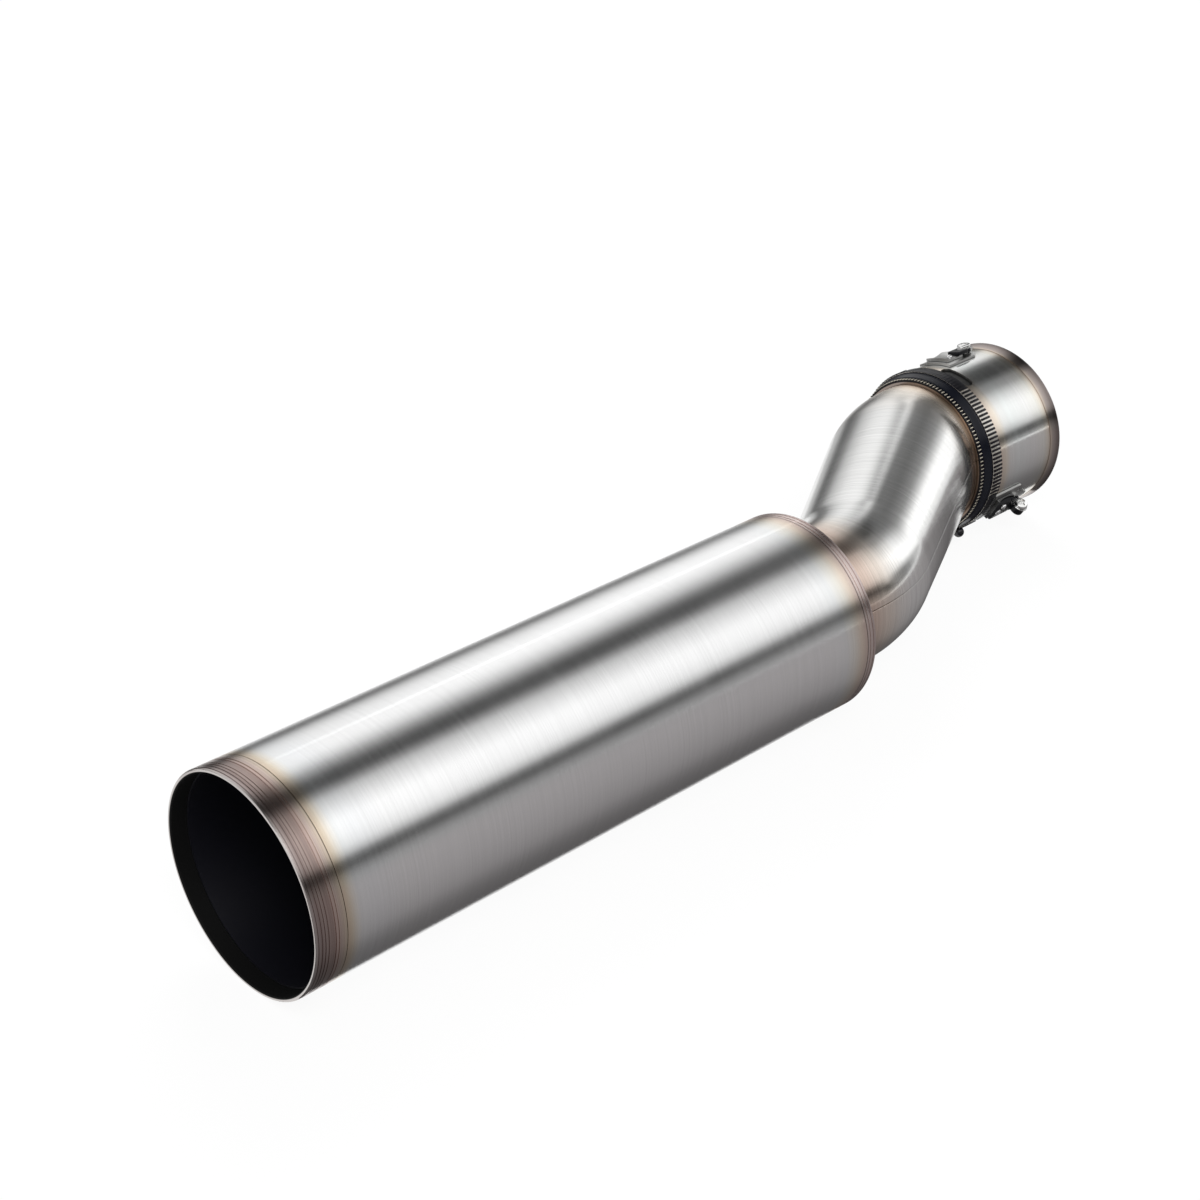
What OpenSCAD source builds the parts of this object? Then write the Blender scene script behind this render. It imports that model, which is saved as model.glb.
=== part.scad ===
/* [Can] */
// Outer diameter of the can
can_d = 101.6; // [92:0.2:112]
// Length of the can from its mouth to the seam of its end cap
can_len = 325; // [240:1:420]
// Wall of the can's shell
shell_wall = 1.2; // [1:0.1:1.6]

/* [Outlet ring] */
// Length of the turned ring at the mouth
outlet_len = 15.2; // [14:0.2:24]
// Depth of the ring's turned grooves
groove_depth = 0.3; // [0.15:0.05:0.4]
// Width of the ring's turned grooves
groove_w = 0.5; // [0.3:0.05:0.7]

/* [Inner liner] */
// Depth of the liner's front edge inside the mouth
liner_inset = 8.3; // [6:0.1:12]
// Wall of the liner
liner_wall = 0.8; // [0.6:0.1:1.2]

/* [End cap] */
// Length of the band around the cap, from the seam to its face
cap_len = 6.6; // [5:0.2:12]
// Radius of the cap's rounded corner
cap_corner_r = 1.4; // [0.8:0.1:2.4]
// Length of the cap's coned face
cap_cone_len = 7; // [4:0.5:10]
// Length of the cap's lip around the pipe
cap_lip_len = 3; // [2:0.5:5]
// Wall of the cap
cap_wall = 1.5; // [1.2:0.1:2]

/* [Pressed joints of the can] */
// Length of each spigot inside the shell
spigot_len = 9; // [6:0.5:14]
// Wall of each spigot
spigot_wall = 0.6; // [0.5:0.1:0.9]

/* [Offset pipe] */
// Outer diameter of the pipe at the can
pipe_base_d = 74.4; // [68:0.2:78]
// Wall of the pipe's pressed halves
pipe_wall = 1.5; // [1.2:0.1:2]
// Distance between the can's axis and the collar's axis
pipe_offset = 79.1; // [72:0.5:92]
// Angle of both bends
bend_angle = 30.3; // [27:0.1:36]
// Centreline radius of the bend at the can
base_bend_r = 76; // [66:1:90]
// Centreline radius of the bend at the collar
end_bend_r = 48; // [48:1:60]
// Straight length between the cap's band and the first bend
base_straight = 20; // [18:0.5:34]
// Gap left along each seam between the halves
seam_gap = 0.3; // [0.2:0.05:0.5]
// Tilt of the seam from the plane of the bends
seam_tilt = 12; // [0:1:20]

/* [Inlet collar] */
// Bore of the socket, for a pipe of 88.9
socket_d = 89.2; // [88:0.1:92]
// Depth of the socket
socket_depth = 59; // [56:0.5:70]
// Step in radius from the socket's bore down to the pipe
socket_step = 3; // [2.6:0.1:6]
// Wall of the collar
collar_wall = 1.4; // [1.2:0.1:2]
// Length of the collar's narrow neck around the pipe
neck_len = 8; // [7:0.1:9]
// Step in radius from the collar's body out to its flared lip
lip_flare = 1.7; // [1.3:0.1:3]
// Length of the flared lip
lip_len = 7.4; // [6:0.2:10]
// Width of the slots behind the clamp ring
slot_w = 7.2; // [5:0.1:8]
// Length of the slots around the collar, in degrees
slot_span = 17; // [14:1:26]

/* [Clamp ring] */
// Number of teeth or ribs around the ring
tooth_count = 128; // [96:4:144]
// Length of the front toothed ring
front_ring_len = 2.4; // [2:0.1:3]
// Height of the front teeth
tooth_h = 0.8; // [0.5:0.1:1]
// Length of the rear ribbed ring
rear_ring_len = 7.4; // [6:0.1:8]
// Height of the ribs
rib_h = 0.8; // [0.5:0.1:1.2]
// Wall of both toothed rings under their teeth
ring_wall = 0.6; // [0.5:0.1:0.9]
// Diameter of the lock screw's ball head
ball_d = 6.2; // [5:0.1:6.4]
// Diameter of the lock screw's shank
lock_shank_d = 2.4; // [2:0.1:2.8]
// Angle around the ring to the lock screw
lock_angle = 232.6; // [225:0.2:300]

/* [Screw lugs] */
// Angle around the collar midway between the lugs
lug_middle = 142.8; // [135:0.2:150]
// Angle from the middle to each lug
lug_spread = 69; // [62:0.5:74]
// Width of each strap around the collar
strap_w = 22; // [20:0.5:24]
// Thickness of the straps
strap_t = 1.2; // [1:0.1:1.5]
// Length of each strap up to its tongue
strap_len = 25.5; // [24:0.5:28]
// Length of the tapered tongue at the strap's end
tongue_len = 8; // [6:0.5:9]
// Length of each ribbed housing
housing_len = 19.5; // [18:0.5:20]
// Height of each housing above its saddle
housing_h = 2.2; // [1.8:0.1:2.8]
// Diameter of the pinch screws' heads
screw_head_d = 7.6; // [7:0.1:8.4]
// Thread diameter of the pinch screws
screw_d = 3.4; // [3:0.1:3.8]
// Diameter of the rivets' heads
rivet_head_d = 3.4; // [3:0.1:4]

/* [Fits] */
// Radial clearance in slip joints and under seated pieces
slip = 0.2; // [0.1:0.05:0.3]
// Gap at butt joints along the axis
butt_gap = 0.3; // [0.2:0.05:0.4]

/* [Hidden] */
$fn = 96;

// Radii of the can's pieces, from the outside in
can_r = can_d / 2;
shell_bore_r = can_r - shell_wall;
spigot_r = shell_bore_r - slip;
mouth_r = spigot_r - spigot_wall;
liner_r = mouth_r - slip;

// Pipe: its radii, and the coned straight between its bends
socket_r = socket_d / 2;
pipe_base_r = pipe_base_d / 2;
pipe_end_r = socket_r - socket_step;
cone_len = (pipe_offset - (base_bend_r + end_bend_r) * (1 - cos(bend_angle))) / sin(bend_angle);
bend_run = (base_bend_r + end_bend_r) * sin(bend_angle) + cone_len * cos(bend_angle);

// Collar: its radii, and its length with the web between neck and socket
body_r = socket_r + collar_wall;
lip_r = body_r + lip_flare;
neck_bore_r = pipe_end_r + slip;
neck_r = neck_bore_r + collar_wall;
collar_len = socket_depth + collar_wall + neck_len;

// Steps along each bend, and around each half of the pipe
bend_steps = 10;
section_steps = 24;

// Places along X, from the socket's mouth at 0 towards the can
bend_start_x = -collar_len - bend_run;
cap_face_x = bend_start_x - base_straight;
seam_x = cap_face_x - cap_len;
mouth_x = seam_x - can_len;

// The can and the lip touch the same floor, so the bends lie a little off level
pipe_roll = asin((lip_r - can_r) / pipe_offset);

// Turned grooves: distances from the mouth, and from the cap's seam
outlet_grooves = [1.2, 3, 4.6, 6.2, 9.6, 11.2];
cap_grooves = [2, 4.2];

// Clamp ring: its three pieces follow each other from the neck's front edge
ring_bore_r = neck_r + slip;
front_root_r = ring_bore_r + ring_wall;
rear_bore_r = body_r + slip;
rear_root_r = rear_bore_r + ring_wall;
front_ring_x = -collar_len;
band_x = front_ring_x + front_ring_len + slip;
rear_ring_x = -socket_depth - collar_wall - slip;
band_len = rear_ring_x - slip - band_x;
rear_ring_end_x = rear_ring_x + rear_ring_len;
tooth_pitch = 360 / tooth_count;

// Lugs: the upper one ends behind the lip, and the lower one starts at the clamp ring
lug_angles = [lug_middle - lug_spread, lug_middle + lug_spread];
strap_r = body_r + slip;
strap_top_r = strap_r + strap_t;
strap_x = [-lip_len - 2 - tongue_len - strap_len, rear_ring_end_x + butt_gap];
strap_half_angle = asin(strap_w / 2 / strap_r);
saddle_r = strap_top_r + slip;
saddle_t = 0.8;
saddle_rise = 1.2;
saddle_len = 14;
saddle_w = strap_w - 6;
housing_r = saddle_r + saddle_t + slip;
housing_top_r = housing_r + housing_h;
housing_w = strap_w - 8;

// Places along a lug, from the rear end of its strap
housing_x = 1.2;
saddle_x = housing_x + 1;
saddle_mid_x = saddle_x + saddle_len / 2;
saddle_arc_r = (pow(saddle_len / 2, 2) + pow(saddle_rise, 2)) / (2 * saddle_rise);
rivet_x = housing_x + 5.5;
rivet_y = 4.4;
rivet_d = 2.2;

// Pinch screw: its eye, and the places of its parts across the lug
eye_r = screw_head_d / 2;
eye_x = housing_x + housing_len + screw_head_d / 2 + 0.1 + slip;
eye_z = strap_top_r + screw_head_d / 2 + 1.4;
eye_y = [-5.8, -1.7];
washer_t = 0.7;
washer_y = eye_y[1] + slip;
head_y = washer_y + washer_t + slip;
head_t = 2.2;
nut_t = 2.2;
nut_y = eye_y[0];
nut_flats = screw_d + 2;

// Slots: rounded at both ends, the first one beside the upper strap
slot_x = rear_ring_end_x + 1.4 + slot_w / 2;
slot_end_angle = asin(slot_w / 2 / body_r);
slot_start = lug_angles[0] + strap_half_angle + 3;

// Turns a profile of radius and X into a ring about the X axis
module turned() {
    rotate([0, 90, 0]) rotate_extrude() children();
}

// Places the can's axis beside the collar's axis
module on_can_axis() {
    rotate([pipe_roll, 0, 0]) translate([0, -pipe_offset, 0]) children();
}

// Rectangle between two radii and two places along X
module wall_2d(r_in, r_out, x_from, x_to) {
    translate([r_in, x_from]) square([r_out - r_in, x_to - x_from]);
}

// Grooves turned into an outer radius at the given places
module groove_2d(r, places) {
    for (at = places)
        translate([r - groove_depth, at - groove_w / 2]) square([2 * groove_depth, groove_w]);
}

module outlet_ring() {
    edge_r = (can_r - mouth_r) / 2;
    color("rosybrown") on_can_axis() turned() difference() {
        union() {
            translate([can_r - edge_r, mouth_x + edge_r]) circle(edge_r);
            wall_2d(mouth_r, can_r, mouth_x + edge_r, mouth_x + outlet_len);
            wall_2d(mouth_r, spigot_r, mouth_x + outlet_len, mouth_x + outlet_len + spigot_len);
        }
        groove_2d(can_r, [for (g = outlet_grooves) mouth_x + g]);
    }
}

module can_shell() {
    color("silver") on_can_axis() turned()
        wall_2d(shell_bore_r, can_r, mouth_x + outlet_len + butt_gap, seam_x);
}

module inner_liner() {
    color([0.05, 0.05, 0.07]) on_can_axis() turned()
        wall_2d(liner_r - liner_wall, liner_r, mouth_x + liner_inset, seam_x - spigot_len / 2);
}

module end_cap() {
    bore_r = pipe_base_r + slip;
    lip_outer_r = bore_r + cap_wall;
    face_r = can_r - cap_corner_r;
    cone_end_x = cap_face_x + cap_cone_len;
    color("rosybrown") on_can_axis() turned() difference() {
        union() {
            wall_2d(mouth_r, spigot_r, seam_x - spigot_len, seam_x + butt_gap);
            wall_2d(mouth_r, can_r, seam_x + butt_gap, cap_face_x - cap_corner_r);
            translate([face_r, cap_face_x - cap_corner_r]) circle(cap_corner_r);
            polygon([
                [mouth_r, cap_face_x - cap_corner_r], [can_r - 0.01, cap_face_x - cap_corner_r],
                [face_r, cap_face_x], [lip_outer_r, cone_end_x],
                [lip_outer_r, cone_end_x + cap_lip_len], [bore_r, cone_end_x + cap_lip_len],
                [bore_r, cone_end_x - cap_wall], [face_r - cap_wall, cap_face_x - cap_wall]
            ]);
        }
        groove_2d(can_r, [for (g = cap_grooves) seam_x + g]);
    }
}

// Stations along the pipe: X, distance from the can's axis, direction and outer radius
pipe_stations = concat(
    [[-cap_len - base_straight, 0, 0, pipe_base_r]],
    [for (i = [0:bend_steps])
        let (a = i * bend_angle / bend_steps)
        [base_bend_r * sin(a), base_bend_r * (1 - cos(a)), a, pipe_base_r]],
    [for (i = [0:bend_steps])
        let (a = (1 - i / bend_steps) * bend_angle)
        [bend_run - end_bend_r * sin(a), pipe_offset - end_bend_r * (1 - cos(a)), a, pipe_end_r]],
    [[bend_run + neck_len + collar_wall, pipe_offset, 0, pipe_end_r]]
);

// Point of a station's section at an angle from the side towards the collar's axis
function section_point(station, r, angle) = [
    station[0] - r * cos(angle) * sin(station[2]),
    station[1] + r * cos(angle) * cos(station[2]),
    r * sin(angle)
];

// Half of a station's wall, out along the outside and back along the inside
function half_section(station, turn) =
    let (margin = asin(seam_gap / 2 / station[3]))
    let (step = (180 - 2 * margin) / section_steps)
    let (from = turn - seam_tilt + margin)
    concat(
        [for (i = [0:section_steps]) section_point(station, station[3], from + i * step)],
        [for (i = [section_steps:-1:0]) section_point(station, station[3] - pipe_wall, from + i * step)]
    );

// Pressed half of the offset pipe, lofted through its stations: turn is 0 for the upper half
module pipe_half(turn) {
    rows = len(pipe_stations);
    cols = 2 * (section_steps + 1);
    points = [for (s = pipe_stations) each half_section(s, turn)];
    sides = [
        for (row = [0:rows - 2], i = [0:cols - 1])
            let (a = row * cols + i, b = row * cols + (i + 1) % cols)
            [a, b, b + cols, a + cols]
    ];
    ends = [
        for (i = [0:section_steps - 1])
            for (first = [0, (rows - 1) * cols])
                let (quad = [first + i, first + cols - 1 - i, first + cols - 2 - i, first + i + 1])
                first == 0 ? quad : [quad[3], quad[2], quad[1], quad[0]]
    ];
    on_can_axis() translate([bend_start_x, 0, 0])
        polyhedron(points = points, faces = concat(sides, ends), convexity = 6);
}

module pipe_upper_half() {
    color("gainsboro") pipe_half(0);
}

module pipe_lower_half() {
    color("darkgray") pipe_half(180);
}

// Slot with round ends, punched straight through the collar's wall
module collar_slot(middle) {
    reach = body_r * sin(slot_span / 2);
    rotate([middle - 90, 0, 0]) translate([slot_x, 0, socket_r - 4]) linear_extrude(8) {
        square([slot_w, 2 * reach], center = true);
        for (y = [-reach, reach]) translate([0, y]) circle(d = slot_w);
    }
}

module inlet_collar() {
    roll_r = 1.2;
    color("silver") difference() {
        turned() difference() {
            union() {
                wall_2d(neck_bore_r, neck_r, -collar_len, -socket_depth);
                wall_2d(neck_bore_r, body_r, -socket_depth - collar_wall, -socket_depth);
                wall_2d(socket_r, body_r, -socket_depth, -lip_len);
                polygon([
                    [socket_r, -lip_len], [body_r, -lip_len], [lip_r, -roll_r],
                    [lip_r - roll_r, 0], [socket_r, 0]
                ]);
                translate([lip_r - roll_r, -roll_r]) circle(roll_r);
            }
            groove_2d(body_r, [-lip_len]);
        }
        for (turn = [0, 180]) collar_slot(slot_start + slot_span / 2 + turn);
    }
}

// Ring of teeth about X: land holds the angles that keep no teeth
module toothed_ring(bore_r, root_r, h, length, land) {
    flank = tooth_pitch * 0.1;
    tip = tooth_pitch * 0.3;
    points = [
        for (i = [0:tooth_count - 1])
            let (a = i * tooth_pitch)
            let (on_land = len([for (l = land) if (a >= l[0] && a <= l[1]) 1]) > 0)
            for (corner = on_land ? [[0, h / 4]] : [[0, 0], [flank, h], [flank + tip, h], [2 * flank + tip, 0]])
                (root_r + corner[1]) * [cos(a + corner[0]), sin(a + corner[0])]
    ];
    rotate([90, 0, 90]) linear_extrude(length) difference() {
        polygon(points);
        circle(bore_r, $fn = 4 * tooth_count);
    }
}

module front_toothed_ring() {
    color("darkslategray") translate([front_ring_x, 0, 0])
        toothed_ring(ring_bore_r, front_root_r, tooth_h, front_ring_len, []);
}

module clamp_band() {
    front_r = front_root_r + 1.2;
    rear_r = rear_root_r - 0.3;
    color([0.1, 0.1, 0.12]) difference() {
        turned() polygon([
            [ring_bore_r, band_x], [front_r - 0.5, band_x], [front_r, band_x + 0.6],
            [rear_r - 0.4, band_x + band_len - 1], [rear_r, band_x + band_len - 0.5],
            [rear_r, band_x + band_len], [ring_bore_r, band_x + band_len]
        ]);
        on_lock_screw() cylinder(h = rear_r, d = lock_shank_d + 2 * slip);
    }
}

module rear_ribbed_ring() {
    smooth = [
        [lug_angles[0] - strap_half_angle, slot_start + slot_span + slot_end_angle],
        [lug_angles[1] - strap_half_angle - 1, lug_angles[1] + strap_half_angle]
    ];
    color([0.12, 0.12, 0.13]) translate([rear_ring_x, 0, 0])
        toothed_ring(rear_bore_r, rear_root_r, rib_h, rear_ring_len, smooth);
}

// Frame of the lock screw: Z runs outwards through the band
module on_lock_screw() {
    rotate([lock_angle - 90, 0, 0]) translate([band_x + lock_shank_d / 2 + slip, 0, 0]) children();
}

module lock_screw() {
    seat_r = rear_root_r;
    ball_r = ball_d / 2;
    color([0.08, 0.08, 0.09]) on_lock_screw() {
        translate([0, 0, ring_bore_r + slip]) cylinder(h = seat_r - ring_bore_r, d = lock_shank_d);
        difference() {
            translate([0, 0, seat_r + ball_r * 0.6]) sphere(ball_r);
            translate([-ball_d, -ball_d, seat_r - 2 * ball_d]) cube([2 * ball_d, 2 * ball_d, 2 * ball_d]);
        }
    }
}

// Frame of a lug: X from the rear end of its strap, Z outwards, Y towards the other lug
module on_lug(side) {
    rotate([lug_angles[side] - 90, 0, 0]) mirror([0, side == 0 ? 1 : 0, 0])
        translate([strap_x[side], 0, 0]) children();
}

// Bar with rounded ends along X, standing through the stack of a lug
module rounded_plan(x_from, x_to, w, corner) {
    translate([0, 0, body_r - 2]) linear_extrude(12) {
        translate([x_from, -w / 2 + corner]) square([x_to - x_from, w - 2 * corner]);
        translate([x_from + corner, -w / 2]) square([x_to - x_from - 2 * corner, w]);
        for (x = [x_from + corner, x_to - corner], y = [-w / 2 + corner, w / 2 - corner])
            translate([x, y]) circle(corner);
    }
}

// Hole for the rivet through one piece of a lug
module rivet_hole() {
    translate([rivet_x, rivet_y, body_r - 2]) cylinder(h = 12, d = rivet_d + 2 * slip);
}

// Plan of a strap: square at the ring, round at its far corners, with a tapered tongue
module strap_plan() {
    corner = 4;
    tip_r = 2.5;
    rounded_plan(0, strap_len, strap_w, corner);
    translate([0, -strap_w / 2, body_r - 2]) cube([2 * corner, strap_w, 12]);
    translate([0, 0, body_r - 2]) linear_extrude(12) {
        polygon([
            [strap_len - 1, -strap_w / 2 + corner], [strap_len + tongue_len - tip_r, -tip_r],
            [strap_len + tongue_len - tip_r, tip_r], [strap_len - 1, strap_w / 2 - corner]
        ]);
        translate([strap_len + tongue_len - tip_r, 0]) circle(tip_r);
    }
}

module strap(side) {
    color("silver") on_lug(side) difference() {
        intersection() {
            turned() wall_2d(strap_r, strap_top_r, 0, strap_len + tongue_len);
            strap_plan();
        }
        rivet_hole();
        translate([strap_len - 3.5, strap_w / 2 - 3.5, body_r - 2]) cylinder(h = 12, d = 2);
    }
}

module saddle(side) {
    color("gainsboro") on_lug(side) difference() {
        intersection() {
            turned() difference() {
                wall_2d(saddle_r, saddle_r + saddle_t + saddle_rise, saddle_x, saddle_x + saddle_len);
                translate([saddle_r + saddle_t + saddle_arc_r, saddle_mid_x]) circle(saddle_arc_r);
            }
            rounded_plan(saddle_x, saddle_x + saddle_len, saddle_w, 1);
        }
        rivet_hole();
    }
}

module housing(side) {
    rib_pitch = 2;
    rib_count = 4;
    tail_len = 3;
    rib_x = housing_x + housing_len - rib_count * rib_pitch;
    sole_r = strap_top_r + slip;
    front_r = saddle_r + saddle_t + saddle_rise + slip;
    color([0.07, 0.07, 0.08]) on_lug(side) difference() {
        union() {
            intersection() {
                turned() difference() {
                    union() {
                        intersection() {
                            wall_2d(saddle_r, housing_top_r, housing_x, housing_x + housing_len);
                            translate([saddle_r + saddle_t + saddle_arc_r, saddle_mid_x])
                                circle(saddle_arc_r - slip);
                        }
                        wall_2d(front_r, housing_top_r, housing_x, housing_x + housing_len);
                    }
                    polygon([
                        [front_r + 0.2, housing_x], [housing_top_r, housing_x + tail_len],
                        [housing_top_r + 1, housing_x + tail_len], [housing_top_r + 1, housing_x - 1],
                        [front_r + 0.2, housing_x - 1]
                    ]);
                    for (i = [0:rib_count - 1])
                        wall_2d(housing_top_r - 0.7, housing_top_r + 1,
                            rib_x + i * rib_pitch, rib_x + i * rib_pitch + 0.9);
                }
                rounded_plan(housing_x, housing_x + housing_len, housing_w, 3);
            }
            translate([housing_x + housing_len - 1, eye_y[0], front_r])
                cube([eye_x - housing_x - housing_len + 1, eye_y[1] - eye_y[0], housing_top_r - front_r]);
            translate([eye_x - eye_r, eye_y[0], sole_r])
                cube([2 * eye_r, eye_y[1] - eye_y[0], eye_z - sole_r]);
            translate([eye_x, eye_y[0], eye_z]) rotate([-90, 0, 0])
                cylinder(h = eye_y[1] - eye_y[0], r = eye_r);
        }
        rivet_hole();
        translate([eye_x, eye_y[0] - 1, eye_z]) rotate([-90, 0, 0]) {
            cylinder(h = eye_y[1] - eye_y[0] + 2, d = screw_d + 2 * slip);
            cylinder(h = 1 + nut_t + slip, d = nut_flats / cos(30) + 2 * slip, $fn = 6);
        }
    }
}

module rivet(side) {
    head_r = rivet_head_d / 2;
    color("white") on_lug(side) translate([rivet_x, rivet_y, 0]) {
        translate([0, 0, strap_r + slip])
            cylinder(h = housing_top_r - strap_r, d = rivet_d);
        difference() {
            translate([0, 0, housing_top_r + 0.1]) sphere(head_r);
            translate([-head_r - 1, -head_r - 1, housing_top_r + 0.1 - 3 * head_r])
                cube([2 * head_r + 2, 2 * head_r + 2, 3 * head_r]);
        }
    }
}

// Frame of a pinch screw: Z runs along the screw towards its head
module on_screw(side, y) {
    on_lug(side) translate([eye_x, y, eye_z]) rotate([-90, 0, 0]) children();
}

module screw(side) {
    recess_w = 1.2;
    recess_l = screw_head_d * 0.55;
    recess_t = 1.6;
    shank_len = head_y - nut_y + 0.6;
    dome_r = screw_head_d;
    color("white") {
        on_screw(side, head_y - shank_len) cylinder(h = shank_len + 0.1, d = screw_d);
        on_screw(side, head_y) difference() {
            intersection() {
                cylinder(h = head_t, d = screw_head_d);
                translate([0, 0, head_t - dome_r]) sphere(dome_r);
            }
            for (turn = [0, 90]) rotate(turn)
                translate([-recess_l / 2, -recess_w / 2, head_t - recess_t]) cube([recess_l, recess_w, 2 * recess_t]);
        }
    }
}

module washer(side) {
    color("lightgray") on_screw(side, washer_y) difference() {
        cylinder(h = washer_t, d = screw_head_d + 0.2);
        translate([0, 0, -1]) cylinder(h = washer_t + 2, d = screw_d + 2 * slip);
    }
}

module nut(side) {
    color("lightgray") on_screw(side, nut_y) difference() {
        cylinder(h = nut_t, d = nut_flats / cos(30), $fn = 6);
        translate([0, 0, -1]) cylinder(h = nut_t + 2, d = screw_d + 2 * slip);
    }
}

module upper_strap() { strap(0); }
module upper_saddle() { saddle(0); }
module upper_housing() { housing(0); }
module upper_rivet() { rivet(0); }
module upper_screw() { screw(0); }
module upper_washer() { washer(0); }
module upper_nut() { nut(0); }
module lower_strap() { strap(1); }
module lower_saddle() { saddle(1); }
module lower_housing() { housing(1); }
module lower_rivet() { rivet(1); }
module lower_screw() { screw(1); }
module lower_washer() { washer(1); }
module lower_nut() { nut(1); }

outlet_ring();
can_shell();
inner_liner();
end_cap();
pipe_upper_half();
pipe_lower_half();
inlet_collar();
front_toothed_ring();
clamp_band();
rear_ribbed_ring();
lock_screw();
upper_strap();
upper_saddle();
upper_housing();
upper_rivet();
upper_screw();
upper_washer();
upper_nut();
lower_strap();
lower_saddle();
lower_housing();
lower_rivet();
lower_screw();
lower_washer();
lower_nut();
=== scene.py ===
"""Looks of an exhaust pipe: a brushed can, an offset pipe and a slotted clamp collar.

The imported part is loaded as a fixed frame, in metres. Turned pieces are copies of its nodes with
true round normals, and the pipe is lofted afresh along its bends. The teeth, ribs, rivets, washers,
nuts and screws of the clamp are Geometry Nodes patterns. Every finish is procedural.
"""

import logging
import math
from dataclasses import dataclass, field
from enum import Enum
from typing import Callable, Optional, Sequence

import bmesh
import bpy
from bpy.types import ID, Material, Mesh, Node, NodeSocket, Object
from mathutils import Matrix, Vector

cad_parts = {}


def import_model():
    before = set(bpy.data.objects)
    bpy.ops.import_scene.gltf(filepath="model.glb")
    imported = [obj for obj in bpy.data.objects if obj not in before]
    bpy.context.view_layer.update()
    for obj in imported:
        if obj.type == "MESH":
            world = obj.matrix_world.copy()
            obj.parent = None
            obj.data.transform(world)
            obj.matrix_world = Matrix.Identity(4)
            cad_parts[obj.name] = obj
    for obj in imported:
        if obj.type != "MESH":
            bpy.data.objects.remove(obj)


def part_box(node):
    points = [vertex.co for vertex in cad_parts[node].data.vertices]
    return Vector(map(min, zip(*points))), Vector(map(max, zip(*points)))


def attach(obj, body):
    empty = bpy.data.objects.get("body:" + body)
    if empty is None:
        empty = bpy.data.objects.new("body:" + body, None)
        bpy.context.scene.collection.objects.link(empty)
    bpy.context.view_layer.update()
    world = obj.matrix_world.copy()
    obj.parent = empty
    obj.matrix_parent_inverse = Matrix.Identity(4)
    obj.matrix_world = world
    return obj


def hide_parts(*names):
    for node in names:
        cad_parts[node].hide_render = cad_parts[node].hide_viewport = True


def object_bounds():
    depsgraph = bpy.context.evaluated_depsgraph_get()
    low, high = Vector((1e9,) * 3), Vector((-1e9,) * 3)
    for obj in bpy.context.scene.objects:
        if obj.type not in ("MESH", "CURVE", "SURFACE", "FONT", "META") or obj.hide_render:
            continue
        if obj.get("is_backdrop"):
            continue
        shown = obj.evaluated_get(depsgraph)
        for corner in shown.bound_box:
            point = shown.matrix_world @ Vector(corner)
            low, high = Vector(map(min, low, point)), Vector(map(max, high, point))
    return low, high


LOG = logging.getLogger("exhaust_pipe")
MM = 0.001
BODY = "root"
STRAIGHT = "straight"
LEVEL = "level"
UV_NAME = "along_and_around"
UV_SCALE = (10, 0.5)
ROUND_LIMIT = 0.92

Pair = tuple[float, float]
Triple = tuple[float, float, float]
Stop = tuple[float, Triple]


class Half(Enum):
    """The two pressed halves of the offset pipe, by where each half's arc begins in degrees."""

    UPPER = 0.0
    LOWER = 180.0


class Side(Enum):
    """The two screw lugs, by the sense in which each one's width runs around the collar."""

    UPPER = -1
    LOWER = 1


@dataclass(frozen=True)
class Axis:
    """A line along X that pieces are turned about.

    Args:
        y: Place of the line along Y.
        z: Place of the line along Z.
    """

    y: float
    z: float

    @classmethod
    def of_node(cls, node: str) -> "Axis":
        """Returns the line through the middle of a node's box."""
        low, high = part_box(node)
        return cls((low.y + high.y) / 2, (low.z + high.z) / 2)


COLLAR_AXIS = Axis(0.0, 0.0)


def between(pairs: Sequence[Pair], at: float) -> float:
    """Returns the value at a place, on straight lines through pairs of place and value.

    Args:
        pairs: Places in rising order, each with its value.
        at: The place.

    Returns:
        The value, which stays even beyond both ends.
    """
    for (low, first), (high, second) in zip(pairs, pairs[1:]):
        if at <= high:
            return first + (second - first) * max(at - low, 0.0) / (high - low)
    return pairs[-1][1]


def stops(start: float, *tints: Stop) -> tuple[Stop, ...]:
    """Returns tints at places in metres, from places in millimetres after a start in metres."""
    return tuple((start + away * MM, colour) for away, colour in tints)


class NodeTree:
    """A node tree with short calls that add and join its nodes.

    Args:
        tree: Blender's tree.
    """

    def __init__(self, tree: bpy.types.NodeTree) -> None:
        """Empties the tree."""
        self.tree = tree
        tree.nodes.clear()

    def add(self, kind: str, inputs: Optional[dict] = None, **settings: object) -> Node:
        """Adds a node.

        Args:
            kind: The node's type.
            inputs: Values or sockets by input name or index.
            settings: Attributes of the node.

        Returns:
            The new node.
        """
        made = self.tree.nodes.new(kind)
        for key, value in settings.items():
            setattr(made, key, value)
        for key, value in (inputs or {}).items():
            if isinstance(value, NodeSocket):
                self.tree.links.new(value, made.inputs[key])
            else:
                made.inputs[key].default_value = value
        return made

    def math(self, operation: str, first: object, second: object = 0.0) -> NodeSocket:
        """Returns the result of a Math node on two values or sockets."""
        return self.add("ShaderNodeMath", {0: first, 1: second}, operation=operation).outputs[0]


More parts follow.
